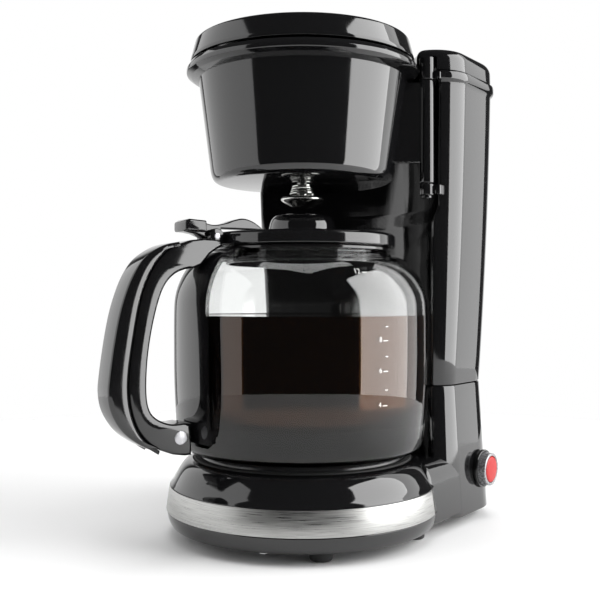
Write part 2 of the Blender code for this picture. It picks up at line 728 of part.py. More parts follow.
def make_basket():
    edge, top = BOWL_FLANGE_RADIUS, BOWL_TOP
    flange = [(68, 277.6), (edge, 279.5), (edge, 281.5), (edge - 1.8, top - 0.3), (66.5, top), (64.5, 283)]
    inside = [(61.6, 279.5), (61.4, 276), (54.9, 225), (53.2, 219), (50, BOWL_LOW + BOWL_WALL)]
    hole = STEM_RADIUS + 0.8
    profile = [(hole, BOWL_LOW)] + bowl_outside() + flange + inside + [(hole, BOWL_LOW + BOWL_WALL)]
    bowl = turned("basket_holder", profile, BLACK, 28)
    low, high = BRACKET_LOW + 7.0 + GAP, BRACKET_HIGH - GAP
    barrel = rod("barrel", (HINGE_X, HINGE_Y, low), (HINGE_X, HINGE_Y, high), HINGE_RADIUS, steps=16, cutter=True)
    web = loft("web", [(226, hinge_web(56.2)), (275.5, hinge_web(62.5))], cutter=True)
    join(bowl, barrel, web)
    bore = rod("bore", (HINGE_X, HINGE_Y, low - 5), (HINGE_X, HINGE_Y, high + 5), HINGE_PIN_RADIUS + GAP, steps=12, cutter=True)
    cut(bowl, bore)
    floor = 228.0
    outside = [(4, floor), (46, floor), (48.5, floor + 3), (58.8, 276), (60.8, 277.5), (60.8, 280)]
    lining = [(58.0, 280), (57.2, 276), (47, floor + 3.5), (45, floor + 1.6), (4, floor + 1.6)]
    filter_basket = turned("filter_basket", outside + lining, BLACK, 24)
    turns, low_radius, high_radius = 4, 7.6, 5.6
    coil_low, coil_high = 206.5, BOWL_LOW - 1.0
    coil = []
    for step in range(turns * 9 + 1):
        share = step / (turns * 9)
        r = low_radius + (high_radius - low_radius) * share
        turn = tau * turns * share
        coil.append((r * cos(turn), r * sin(turn), coil_low + (coil_high - coil_low) * share))
    spring = tube("drip_spring", coil, 0.6, STEEL)
    return [bowl, filter_basket, spring]


VALVE_LOW = 198.9


def make_drip_valve():
    stem = STEM_RADIUS
    profile = [
        (0, 223),
        (stem, 223),
        (stem, 205.6),
        (11.5, 205.3),
        (13.3, 204.6),
        (13.3, 203.2),
        (8, 200.3),
        (6, VALVE_LOW),
        (0, VALVE_LOW),
    ]
    valve = turned("drip_valve", profile, STEEL, 24)
    floor = BOWL_LOW + BOWL_WALL + GAP
    seal = turned(
        "valve_seal", [(stem + GAP, floor + 2), (7.5, floor + 2), (7.5, floor), (stem + GAP, floor)], SILICONE, 18
    )
    return [valve, seal]


# ---------------------------------------------------------------- jug


def glass_outside():
    """The jug's outline in (radius, height), from its foot up to its neck."""
    body = [(71.5, 52.4), (73.7, 55), (75, 64), (76.5, 92), (GLASS_RADIUS, 117), (76.7, 135), (76.1, 143)]
    shoulder = [(74.2, 150), (70.2, 158), (64.5, 164.6), (57.5, 168.4), (53, 170), (NECK_RADIUS, 171)]
    return [(68, PLATE_TOP + GAP)] + body + shoulder + [(NECK_RADIUS, NECK_TOP)]


def make_jug():
    outside = glass_outside()
    inside = [(r - GLASS_WALL, z) for r, z in outside[3:]]
    inside[-3] = (57.5 - GLASS_WALL - 0.6, 166.6)
    inside[-2] = (NECK_RADIUS - GLASS_WALL + 0.4, 169)
    floor = PLATE_TOP + GAP + GLASS_FLOOR
    inside = [(0, floor), (66, floor), (70.3, floor + 2.5)] + inside
    glass = turned("carafe_glass", [(0, PLATE_TOP + GAP)] + outside + inside[::-1], GLASS, 28)
    ring_in, ring_out = NECK_RADIUS + 0.4, NECK_RADIUS + 0.4 + COLLAR_THICKNESS
    low, high = 171.3, JUG_LID_LOW - 0.4
    ring = turned("carafe_collar", [(ring_in, high), (ring_out, high), (ring_out, low), (ring_in, low)], BLACK, 28)
    plate = make_handle_plate()
    body, screw, pin = make_handle_body()
    return [glass, ring, plate, body, make_grip(), screw, pin]


PLATE_GAP = 0.4
HANDLE_PLATE_THICKNESS = 2.6
HANDLE_PLATE_WIDTH = 42.0


def make_handle_plate():
    """The moulded strip between the handle and the glass, which follows the jug's side."""
    side = [point for point in glass_outside() if 60 < point[1] < 169]
    near = beside(side, -PLATE_GAP)
    far = beside(side, -PLATE_GAP - HANDLE_PLATE_THICKNESS)
    strip = turned("handle_plate", near + far[::-1], BLACK, 36)
    half, reach = HANDLE_PLATE_WIDTH / 2, 120
    outline = [in_handle_plane(r, 0, across).xy for r, across in ((20, -half), (reach, -half), (reach, half), (20, half))]
    keep = loft("keep", [(0, [tuple(p) for p in outline]), (reach * 2, [tuple(p) for p in outline])], cutter=True)
    if keep.data.polygons[0].normal.z > 0:
        faces_out(keep)
    return combine(strip, [keep], "INTERSECT")


def handle_seam():
    """The line where the outer grip meets the handle's body, in (radius, height), downwards."""
    return smooth(
        [(86, 173.6), (93, 169.6), (100.8, 161.3), (106.1, 151.5), (109.9, 140), (113.7, 119.6), (116.1, 103), (116.5, 91), (115.0, 80.5), (111.2, 70.5), (105.2, 63), (97.8, 58)],
        2,
    )


def make_handle_body():
    top = [(60.3, 172.6), (60.3, 176.4), (72, 176.6), (80, 175.6)]
    foot = [(91, 55.4), (84, 54.2), (79.8, 54.2), (79.8, 72)]
    opening = smooth(
        [(84, 72.5), (91.7, 72.4), (100, 75.6), (104.9, 81), (106.7, 91), (106.1, 108), (103.6, 125), (99.6, 141), (95.5, 150.5), (89.5, 156.5), (82.5, 159.2), (78.6, 159.4)],
        2,
    )
    shoulder = [(73.6, 161.3), (68.2, 167.8), (64, 170.8)]
    outline = top + handle_seam() + foot + opening + shoulder
    half = HANDLE_WIDTH / 2
    body = slab("handle_body", outline, -half, half, BLACK, 1.2)
    pin_r, pin_z = HANDLE_PIN
    along = [in_handle_plane(pin_r, pin_z, across) for across in (-9.2, 9.2)]
    join(body, rod("ear", *along, 4.4, cutter=True))
    slot = slab("slot", [(50, 173.9), (72, 173.9), (72, 195), (50, 195)], -5.4, 5.4, cutter=True)
    cut(body, slot)
    way = [in_handle_plane(pin_r, pin_z, across) for across in (-20, 20)]
    cut(body, rod("pin_way", *way, PIN_RADIUS + GAP, steps=16, cutter=True))
    screw_r, screw_z = 86.5, 64.5
    pocket = [in_handle_plane(screw_r, screw_z, across) for across in (half - 3.2, half + 5)]
    cut(body, rod("pocket", *pocket, SCREW_HEAD_RADIUS + GAP, steps=16, cutter=True))
    seat = [in_handle_plane(screw_r, screw_z, across) for across in (half - 2.9, half - 0.5)]
    screw = rod("handle_screw", *seat, SCREW_HEAD_RADIUS, ZINC, 16)
    pin_ends = [in_handle_plane(pin_r, pin_z, across) for across in (-9.4, 9.4)]
    return body, screw, rod("lid_pin", *pin_ends, PIN_RADIUS, ZINC, 16)


PIN_RADIUS = 1.9
SCREW_HEAD_RADIUS = 4.2


def make_grip():
    outer = smooth(
        [(86, 174.6), (95, 172.6), (103, 168.5), (109.7, 162.8), (115.5, 153.6), (120.1, 141.7), (123.2, 130), (126, 114.4), (128.1, 99), (128.6, 91), (127.4, 83), (124.1, 75.5), (118.4, 68.2), (109.7, 61.8), (101.5, 57.8)],
        2,
    )
    seam = beside(handle_seam()[1:], GAP)
    half = HANDLE_WIDTH / 2
    return slab("handle_grip", outer + seam[::-1], -half, half, BLACK, 1.0)


def make_jug_lid():
    edge, low, top = JUG_LID_RADIUS, JUG_LID_LOW, JUG_LID_TOP
    plug, plug_low = NECK_RADIUS - GLASS_WALL - 1.5, 165.0
    outside = [
        (3, 194.4),
        (13.5, 194.4),
        (17, 193.4),
        (19.5, 190.5),
        (20.6, 186),
        (21.5, top + 1.2),
        (40, top + 0.9),
        (edge - 1.8, top),
        (edge, top - 1.5),
        (edge, low + 1),
        (edge - 1, low),
        (plug, low),
        (plug, plug_low),
    ]
    inside = [(plug - 1.8, plug_low), (plug - 1.8, top - 2), (20, top - 1.4), (17.6, 190), (13, 192), (3, 192)]
    lid = turned("carafe_lid", outside + inside, BLACK, 28)
    over = top + 1.2 + GAP
    lever = [
        (30, over),
        (33, over + 2.5),
        (38, over + 5.2),
        (44, over + 6.6),
        (50, over + 5.4),
        (57, 186),
        (64, 185),
        (71, 186.6),
        (80, 187.2),
        (82.3, 185.5),
        (82.3, 180.6),
        (75, 179.8),
        (68.5, 177.4),
        (66, 174.9),
        (63.5, 174.3),
        (61, 175),
        (59.6, 177.5),
        (58.6, over),
    ]
    arm = slab("lid_lever", lever, -5, 5, BLACK, 0.6)
    thumb = slab("thumb", [(69.5, 180.4), (82.8, 180.9), (82.8, 186.2), (80.3, 187.8), (69.5, 187.2)], -8.5, 8.5, cutter=True)
    join(arm, thumb)
    way = [in_handle_plane(*HANDLE_PIN, across) for across in (-20, 20)]
    cut(arm, rod("pin_way", *way, PIN_RADIUS + GAP, steps=16, cutter=True))
    return [lid, arm]


# ---------------------------------------------------------------- switch and cord inlet


def on_flank(out):
    """A point on the switch's axis, which lies along X, at a distance out from the base's side."""
    return (flank_at(BUTTON_Z) + out, BUTTON_Y, BUTTON_Z)


def make_switch():
    bezel = rod("switch_bezel", on_flank(-14), on_flank(-1.2), BEZEL_RADIUS - 1.0 - GAP, BLACK, 24)
    rim = rod("rim", on_flank(1.1), on_flank(2.6), BEZEL_RADIUS, cutter=True, steps=24)
    neck = rod("neck", on_flank(-3), on_flank(2.6), BEZEL_RADIUS - 1.0 - GAP, cutter=True, steps=24)
    join(bezel, neck, rim)
    cut(bezel, rod("well", on_flank(-12), on_flank(5), BUTTON_RADIUS + GAP, cutter=True, steps=24))
    gland = rod("cord_gland", (GLAND_X, 118, GLAND_Z), (GLAND_X, 133.5, GLAND_Z), GLAND_RADIUS, BLACK, 16)
    rear = TOWER_REAR - 2.0
    join(gland, rod("flange", (GLAND_X, rear, GLAND_Z), (GLAND_X, rear + 2.5, GLAND_Z), 8.5, steps=16, cutter=True))
    cut(gland, rod("cord_way", (GLAND_X, 110, GLAND_Z), (GLAND_X, 140, GLAND_Z), 3.4, steps=12, cutter=True))
    return [bezel, gland]


def make_button():
    proud = BUTTON_PROUD
    collar = rod("power_button", on_flank(-7.5), on_flank(proud - 0.8), BUTTON_RADIUS, SILVER, 24)
    join(collar, rod("edge", on_flank(proud - 2), on_flank(proud), BUTTON_RADIUS - 1, cutter=True, steps=24))
    lens_radius = BUTTON_RADIUS - 2.2
    cut(collar, rod("seat", on_flank(proud - 2.3), on_flank(proud + 5), lens_radius + GAP, cutter=True, steps=24))
    lens = rod("button_lens", on_flank(proud - 2), on_flank(proud - 0.2), lens_radius, RED, 24)
    join(lens, rod("crown", on_flank(proud - 1), on_flank(proud + 0.4), lens_radius - 1.4, cutter=True, steps=24))
    coil = []
    turns = 3
    for step in range(turns * 7 + 1):
        share = step / (turns * 7)
        turn = tau * turns * share
        x, y, z = on_flank(-11.1 + 2.7 * share)
        coil.append((x, y + 5 * cos(turn), z + 5 * sin(turn)))
    return [collar, lens], tube("button_spring", coil, 0.3, STEEL)


# ---------------------------------------------------------------- assembly


def rest_on_footprint(root, pieces):
    """Moves the root so that the origin is the middle of the whole object's footprint, at its lowest point."""
    bpy.context.view_layer.update()
    corners = [piece.matrix_world @ vertex.co for piece in pieces for vertex in piece.data.vertices]
    low = Vector(min(corner[axis] for corner in corners) for axis in range(3))
    high = Vector(max(corner[axis] for corner in corners) for axis in range(3))
    root.location -= Vector(((low.x + high.x) / 2, (low.y + high.y) / 2, low.z))


clear_scene()
PARTS = make_collection("drip_coffee_maker")
CUTTERS = make_collection("cutters")
BLACK = make_material("gloss_black", (0.012, 0.012, 0.013), 0.12)
STEEL = make_material("brushed_steel", (0.62, 0.62, 0.62), 0.3, 1.0)
ZINC = make_material("zinc", (0.5, 0.5, 0.52), 0.35, 1.0)
ALUMINIUM = make_material("aluminium", (0.7, 0.7, 0.7), 0.4, 1.0)
RUBBER = make_material("rubber", (0.02, 0.02, 0.02), 0.8)
ENAMEL = make_material("enamel", (0.02, 0.02, 0.02), 0.25)
SILICONE = make_material("silicone", (0.75, 0.75, 0.72), 0.5)
WHITE = make_material("white_plastic", (0.8, 0.8, 0.8), 0.4)
WATER_CLEAR = make_material("tank_plastic", (0.6, 0.62, 0.64), 0.2, 0.0, 0.5)
GLASS = make_material("glass", (1, 1, 1), 0.0, 0.0, 1.0)
SILVER = make_material("silver_plastic", (0.5, 0.5, 0.5), 0.3)
RED = make_material("red_plastic", (0.6, 0.01, 0.01), 0.2)

ROOT = add_empty("coffee_maker", (0, 0, 0))
BASKET_HINGE = add_empty("basket_hinge", (HINGE_X, HINGE_Y, 0))
LID_HINGE = add_empty("reservoir_lid_hinge", (0, *LID_AXIS))
JUG = add_empty("jug_slide", (0, 0, 0))
JUG_LID_HINGE = add_empty("jug_lid_hinge", in_handle_plane(*HANDLE_PIN, 0))
VALVE = add_empty("valve_slide", (0, 0, 0))
BUTTON = add_empty("button_slide", on_flank(0))

BUTTON_PIECES, BUTTON_SPRING = make_button()
FIXED = [
    make_base(),
    make_band(),
    *make_bottom(),
    *make_plate(),
    *make_heater(),
    *make_water_path(),
    *make_tower(),
    make_tank(),
    make_water_channel(),
    make_top_cover(),
    *make_switch(),
    BUTTON_SPRING,
]
hang(FIXED, ROOT)
GROUPS = [
    (make_reservoir_lid(), LID_HINGE),
    (make_basket(), BASKET_HINGE),
    (make_jug(), JUG),
    (make_jug_lid(), JUG_LID_HINGE),
    (make_drip_valve(), VALVE),
    (BUTTON_PIECES, BUTTON),
]
for group_pieces, group_empty in GROUPS:
    hang(group_pieces, group_empty)
    group_empty.parent = ROOT
rest_on_footprint(ROOT, [piece for piece in PARTS.objects if piece.type == "MESH"])
for piece in PARTS.objects:
    if piece.type == "MESH":
        piece.data.shade_smooth()
        piece.data.set_sharp_from_angle(angle=radians(35))
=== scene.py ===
"""The finished surfaces, stage and camera for a drip coffee maker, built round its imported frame.

Sizes are in millimetres round the drum's upright axis. The camera, the lights, the floor and the panel's
sizes are in metres.
"""

from math import acos, atan2, cos, degrees, hypot, pi, radians, sin, sqrt, tau

import bpy
from mathutils import Matrix, Vector


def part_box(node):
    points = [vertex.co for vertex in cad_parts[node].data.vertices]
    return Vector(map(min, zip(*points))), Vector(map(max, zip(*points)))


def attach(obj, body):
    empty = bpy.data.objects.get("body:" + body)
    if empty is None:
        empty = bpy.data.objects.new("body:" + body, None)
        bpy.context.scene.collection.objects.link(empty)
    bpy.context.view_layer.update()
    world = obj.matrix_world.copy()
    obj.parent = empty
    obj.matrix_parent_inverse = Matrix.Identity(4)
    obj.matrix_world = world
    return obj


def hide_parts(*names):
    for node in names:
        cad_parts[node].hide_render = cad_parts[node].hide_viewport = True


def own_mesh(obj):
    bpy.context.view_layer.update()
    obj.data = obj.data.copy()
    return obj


bl_info = {
    "name": "Drip coffee maker surfaces",
    "version": (1, 0, 0),
    "blender": (4, 5, 0),
    "location": "3D View > Sidebar > Coffee maker",
    "description": "Builds the fine surfaces, finishes and stage of a drip coffee maker",
    "category": "Object",
}

MM = 0.001
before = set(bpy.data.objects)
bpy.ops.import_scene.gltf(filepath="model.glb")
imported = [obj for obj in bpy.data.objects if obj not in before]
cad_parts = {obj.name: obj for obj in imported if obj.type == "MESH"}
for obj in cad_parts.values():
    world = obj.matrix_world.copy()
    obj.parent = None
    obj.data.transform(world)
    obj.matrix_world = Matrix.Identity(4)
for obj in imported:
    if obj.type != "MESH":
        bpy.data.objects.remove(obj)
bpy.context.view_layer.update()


def middle_of(node):
    low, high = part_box(node)
    return (low + high) / 2


def top_of(node):
    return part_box(node)[1].z / MM


def foot_of(node):
    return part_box(node)[0].z / MM


AXIS = Vector((middle_of("carafe_glass").x, middle_of("carafe_glass").y, 0))
STEPS = 128  # round a full turn
MERGE = 0.000002  # metres between points that are one
WALL = 2.5
TOWER_HALF_WIDTH = 80.0
TOWER_FRONT = 40.0
TOWER_REAR = 131.5
FRONT_CORNER = 25.0
REAR_CORNER = 39.5
BASE_LOW = foot_of("base_housing")
SEAM = top_of("base_housing")
TOWER_WIDEST = 274.0
JUG_HOLLOW = 80.0
BASKET_HOLLOW = 84.0
LEDGE = (190.0, 200.0)
LID_HOLLOW = 70.6
HINGE = (middle_of("hinge_pin") - AXIS).xy / MM
HANDLE_TURN = radians(248)
HANDLE_PIN = (63.5, 178.5)  # radius and height
HANDLE_HALF = 10.0
LID_HINGE = ((middle_of("lid_hinge_pin") - AXIS).y / MM, 290.0)  # back and up
NOTCH_HALF = 16.3
NOTCH_TOP = 290.8
BAND_REACH = degrees(atan2(21.0, 81.0))
CAMERA_TURN = radians(36)
BUTTON = (middle_of("power_button") - AXIS) / MM
LIGHT_DISTANCE = 1.2
LIGHT_HEIGHTS = (-0.4, 1.5)
OVERHEAD_SIZE = 1.6
OVERHEAD_HEIGHT = 2.2
CAMERA_DISTANCE = 0.558
CAMERA_HEIGHT = 0.1417
CAMERA_ASIDE = -0.00155


# ---------------------------------------------------------------- properties


class CoffeeMakerSizes(bpy.types.PropertyGroup):
    glass_wall: bpy.props.FloatProperty(
        name="Glass wall", description="Thickness of the jug's side", default=0.0024, unit="LENGTH"
    )
    coffee_level: bpy.props.FloatProperty(
        name="Coffee level",
        description="Height of the coffee above the table",
        default=0.1327,
        unit="LENGTH",
    )
    spring_wire: bpy.props.FloatProperty(
        name="Spring wire",
        description="Radius of the drip stop's spring wire",
        default=0.0006,
        unit="LENGTH",
    )
    mark_height: bpy.props.FloatProperty(
        name="Cup numbers", description="Height of the numbers on the jug", default=0.0034, unit="LENGTH"
    )


class CoffeeMakerColours(bpy.types.PropertyGroup):
    plastic: bpy.props.FloatVectorProperty(
        name="Housing plastic",
        description="Moulded gloss plastic",
        subtype="COLOR",
        default=(0.0035, 0.0035, 0.0038),
    )
    steel: bpy.props.FloatVectorProperty(
        name="Band steel",
        description="Brushed band round the drum",
        subtype="COLOR",
        default=(0.42, 0.42, 0.41),
    )
    coffee: bpy.props.FloatVectorProperty(
        name="Coffee", description="Coffee in the jug", subtype="COLOR", default=(0.003, 0.0012, 0.0006)
    )
    marks: bpy.props.FloatVectorProperty(
        name="Cup marks", description="Printed cup marks", subtype="COLOR", default=(0.85, 0.85, 0.83)
    )
    lens: bpy.props.FloatVectorProperty(
        name="Switch lens",
        description="Lit face of the switch",
        subtype="COLOR",
        default=(0.42, 0.006, 0.006),
    )
    floor: bpy.props.FloatVectorProperty(
        name="Floor", description="Studio floor", subtype="COLOR", default=(0.93, 0.93, 0.93)
    )


# ---------------------------------------------------------------- outlines


def smooth(points, spans=5):
    """A Catmull-Rom curve through the points."""
    ends = [points[0], *points, points[-1]]
    found = []
    for p0, p1, p2, p3 in zip(ends, ends[1:], ends[2:], ends[3:]):
        for step in range(spans):
            t = step / spans
            found.append(
                tuple(
                    0.5 * (
                        2 * b + (c - a) * t + (
                            2 * a - 5 * b + 4 * c - d
                        ) * t**2 + (3 * b - a - 3 * c + d) * t**3
                    )
                    for a, b, c, d in zip(p0, p1, p2, p3)
                )
            )
    return found + [tuple(points[-1])]


def filleted(points, closed=True, steps=5):
    """An outline of (a, b) or (a, b, radius) corners, with an arc at each corner that has a radius."""
    found = []
    count = len(points)
    for i, corner in enumerate(points):
        here = Vector(corner[:2])
        if len(corner) < 3 or (not closed and i in (0, count - 1)):
            found.append(tuple(here))
            continue
        back = Vector(points[i - 1][:2]) - here
        ahead = Vector(points[(i + 1) % count][:2]) - here
        half = back.angle(ahead) / 2
        reach = min(
            corner[2] / max(1e-6, abs(sin(half) / cos(half))), 0.49 * back.length, 0.49 * ahead.length
        )
        start, end = here + back.normalized() * reach, here + ahead.normalized() * reach
        for step in range(steps + 1):
            t = step / steps
            found.append(tuple(start * (1 - t) ** 2 + here * 2 * t * (1 - t) + end * t**2))
    return found


def beside(points, distance):
    """The points moved to the left of the way they run."""
    found = []
    for i, (x, y) in enumerate(points):
        x0, y0 = points[max(i - 1, 0)]
        x1, y1 = points[min(i + 1, len(points) - 1)]
        run = hypot(x1 - x0, y1 - y0)
        found.append((x - distance * (y1 - y0) / run, y + distance * (x1 - x0) / run))
    return found


def arc(centre, radius, start, end, steps):
    found = []
    for step in range(steps + 1):
        turn = radians(start + (end - start) * step / steps)
        found.append((centre[0] + radius * cos(turn), centre[1] + radius * sin(turn)))
    return found


def tower_taper(height):
    """How far the tower's sides stand in from its widest section."""
    if height >= SEAM:
        fall = max(0.0, TOWER_WIDEST - height)
        return 0.01716 * fall + 0.0001303 * fall**2
    share = (SEAM - height) / (SEAM - BASE_LOW)
    return tower_taper(SEAM) * (1 - share) + 2.5 * share


def hollow_at(height):
    share = min(1.0, max(0.0, (height - LEDGE[0]) / (LEDGE[1] - LEDGE[0])))
    return JUG_HOLLOW + share * (BASKET_HOLLOW - JUG_HOLLOW)


def tower_plan(inset, hollow, wall=0.0, tip=1.5):
    """Outline of the tower, whose front is hollowed round the drum's axis."""
    reach, edge = inset + wall, hollow + wall
    side = TOWER_HALF_WIDTH - reach
    front, rear = FRONT_CORNER - reach, REAR_CORNER - reach
    front_centre = (side - front, TOWER_FRONT + FRONT_CORNER)
    rear_centre = (side - rear, TOWER_REAR - REAR_CORNER)
    away = hypot(*front_centre)
    cosine = ((edge + tip) ** 2 - away**2 - front**2) / (2 * front * away)
    turn = atan2(front_centre[1], front_centre[0]) - acos(max(-1.0, min(1.0, cosine)))
    if turn < 0:
        right = arc(front_centre, front, degrees(turn), 0, 14)
    else:
        start = sqrt((edge + tip) ** 2 - side**2)
        end = max(front_centre[1], start + 1)
        right = [(side, start + (end - start) * step / 14) for step in range(15)]
    nose = degrees(atan2(right[0][1], right[0][0]) + tip / edge)
    right += arc(rear_centre, rear, 0, 90, 24)
    left = [(-x, y) for x, y in reversed(right)]
    lip = smooth([left[-1], polar(edge + tip * 0.25, 180 - nose + 0.6), polar(edge, 180 - nose)], 3)[1:]
    lip_back = [(-x, y) for x, y in reversed(lip)]
    return right + left + lip + arc((0, 0), edge, 180 - nose, nose, 144)[1:-1] + lip_back


def polar(radius, turn):
    return (radius * cos(radians(turn)), radius * sin(radians(turn)))


# ---------------------------------------------------------------- modelling


def deselect():
    bpy.ops.object.select_all(action="DESELECT")


def only(piece):
    deselect()
    piece.select_set(True)
    bpy.context.view_layer.objects.active = piece


def tidy_mesh(piece):
    """Merges doubles and turns the faces outwards."""
    only(piece)
    bpy.ops.object.mode_set(mode="EDIT")
    bpy.ops.mesh.select_all(action="SELECT")
    bpy.ops.mesh.remove_doubles(threshold=MERGE)
    bpy.ops.mesh.normals_make_consistent(inside=False)
    bpy.ops.object.mode_set(mode="OBJECT")


def cap_ends(piece):
    """Closes both ends of a part turn."""
    only(piece)
    bpy.ops.object.mode_set(mode="EDIT")
    bpy.ops.mesh.select_all(action="SELECT")
    bpy.ops.mesh.fill_holes(sides=0)
    bpy.ops.object.mode_set(mode="OBJECT")


def finished(piece, name, body, material, stands_for=(), angle=32):
    """Names a piece, puts its place in its mesh, shades it and lets it ride on its body."""
    only(piece)
    bpy.ops.object.transform_apply(location=True, rotation=True, scale=True)
    bpy.ops.object.shade_smooth_by_angle(angle=radians(angle))
    piece.name = piece.data.name = name
    piece.data.materials.clear()
    piece.data.materials.append(material)
    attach(piece, body)
    if stands_for:
        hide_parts(*stands_for)


def turned(profile, turn=360.0, start=0.0, steps=STEPS, centre=(0, 0)):
    """Spins a profile in (radius, height) round an upright axis."""
    deselect()
    bpy.ops.mesh.primitive_plane_add(size=MM)
    piece = bpy.context.object
    across = Vector((cos(radians(start)), sin(radians(start)), 0))
    middle = AXIS + Vector((*centre, 0)) * MM
    places = [middle + (across * r + Vector((0, 0, z))) * MM for r, z in profile]
    bpy.ops.object.mode_set(mode="EDIT")
    bpy.ops.mesh.select_all(action="SELECT")
    bpy.ops.mesh.merge(type="CENTER")
    bpy.ops.transform.translate(value=places[0])
    for here, there in zip(places, places[1:]):
        bpy.ops.mesh.extrude_region_move(TRANSFORM_OT_translate={"value": there - here})
    bpy.ops.mesh.select_all(action="SELECT")
    bpy.ops.mesh.spin(steps=steps, angle=-radians(turn), center=middle, axis=(0, 0, 1))
    bpy.ops.object.mode_set(mode="OBJECT")
    tidy_mesh(piece)
    return piece


def closed_ring(profile):
    return profile + profile[:1]


def lofted(sections, looped=False):
    """Wraps a grid round sections, each a height and an outline, and caps it if it isn't looped."""
    if looped:
        sections = [*sections, sections[0]]
    rows, count = len(sections), len(sections[0][1])
    deselect()
    bpy.ops.mesh.primitive_grid_add(x_subdivisions=count, y_subdivisions=rows - 1, size=1)
    piece = bpy.context.object
    places = [(x, y, z) for z, outline in sections for x, y in [*outline, outline[0]]]
    for vertex, place in zip(piece.data.vertices, places, strict=True):
        vertex.co = AXIS + Vector(place) * MM
    only(piece)
    bpy.ops.object.mode_set(mode="EDIT")
    bpy.ops.mesh.select_all(action="SELECT")
    bpy.ops.mesh.remove_doubles(threshold=MERGE)
    if not looped:
        bpy.ops.mesh.fill_holes(sides=0)
    bpy.ops.mesh.select_all(action="SELECT")
    bpy.ops.mesh.normals_make_consistent(inside=False)
    bpy.ops.object.mode_set(mode="OBJECT")
    return piece


def rod(start, end, radius, bevel=0.4, steps=48):
    """A cylinder between two places, with its rims bevelled."""
    start, end = Vector(start) * MM + AXIS, Vector(end) * MM + AXIS
    deselect()
    bpy.ops.mesh.primitive_cylinder_add(vertices=steps, radius=radius * MM, depth=(end - start).length)
    piece = bpy.context.object
    if bevel:
        bpy.ops.object.mode_set(mode="EDIT")
        bpy.ops.mesh.select_mode(type="FACE")
        bpy.ops.mesh.select_all(action="DESELECT")
        bpy.ops.object.mode_set(mode="OBJECT")
        for face in piece.data.polygons:
            face.select = len(face.vertices) > 4
        bpy.ops.object.mode_set(mode="EDIT")
        bpy.ops.mesh.bevel(offset=bevel * MM, segments=3, affect="EDGES")
        bpy.ops.mesh.select_mode(type="VERT")
        bpy.ops.object.mode_set(mode="OBJECT")
    piece.rotation_euler = (end - start).to_track_quat("Z", "Y").to_euler()
    piece.location = (start + end) / 2
    bpy.ops.object.transform_apply(location=True, rotation=True, scale=True)
    return piece


def slab(outline, half, edge, rounds=4):
    """An outline in (radius, height) in the handle's plane, thickened to both sides, with rounded edges."""
    curve = bpy.data.curves.new("outline", "CURVE")
    curve.dimensions = "2D"
    curve.fill_mode = "BOTH"
    curve.extrude = (half - edge) * MM
    curve.bevel_depth = edge * MM
    curve.offset = -edge * MM
    curve.bevel_resolution = rounds
    spline = curve.splines.new("POLY")
    spline.use_cyclic_u = True
    spline.points.add(len(outline) - 1)
    for point, (r, z) in zip(spline.points, outline):
        point.co = (r * MM, z * MM, 0, 1)
    piece = bpy.data.objects.new("outline", curve)
    bpy.context.collection.objects.link(piece)
    only(piece)
    bpy.ops.object.convert(target="MESH")
    piece = bpy.context.object
    for vertex in piece.data.vertices:
        r, z, across = vertex.co / MM
        vertex.co = AXIS + in_handle_plane(r, z, -across) * MM
    tidy_mesh(piece)
    return piece


def in_handle_plane(r, z, across):
    away = Vector((cos(HANDLE_TURN), sin(HANDLE_TURN), 0))
    side = Vector((-sin(HANDLE_TURN), cos(HANDLE_TURN), 0))
    return away * r + side * across + Vector((0, 0, z))


def joined(piece, *others):
    """Several closed shapes as one object."""
    only(piece)
    if not others:
        return piece
    for other in others:
        other.select_set(True)
    bpy.ops.object.join()
    return bpy.context.object


def wire(points, radius, rounds=3):
    curve = bpy.data.curves.new("wire", "CURVE")
    curve.dimensions = "3D"
    curve.bevel_depth = radius
    curve.bevel_resolution = rounds
    curve.use_fill_caps = True
    spline = curve.splines.new("POLY")
    spline.points.add(len(points) - 1)
    for point, place in zip(spline.points, points):
        point.co = (*(AXIS + Vector(place) * MM), 1)
    piece = bpy.data.objects.new("wire", curve)
    bpy.context.collection.objects.link(piece)
    only(piece)
    bpy.ops.object.convert(target="MESH")
    tidy_mesh(bpy.context.object)
    return bpy.context.object


def cut_with(piece, cutter):
    change = piece.modifiers.new("Cut", "BOOLEAN")
    change.operation = "DIFFERENCE"
    change.object = cutter
    only(piece)
    bpy.ops.object.modifier_apply(modifier=change.name)
    bpy.data.objects.remove(cutter)


def block(low, high, bevel=0.6):
    """A box with rounded edges."""
    low, high = AXIS + Vector(low) * MM, AXIS + Vector(high) * MM
    deselect()
    bpy.ops.mesh.primitive_cube_add(size=1, location=(low + high) / 2, scale=high - low)
    bpy.ops.object.transform_apply(location=True, rotation=True, scale=True)
    bpy.ops.object.mode_set(mode="EDIT")
    bpy.ops.mesh.select_all(action="SELECT")
    bpy.ops.mesh.bevel(offset=bevel * MM, segments=3, affect="EDGES")
    bpy.ops.object.mode_set(mode="OBJECT")
    return bpy.context.object


# ---------------------------------------------------------------- finishes


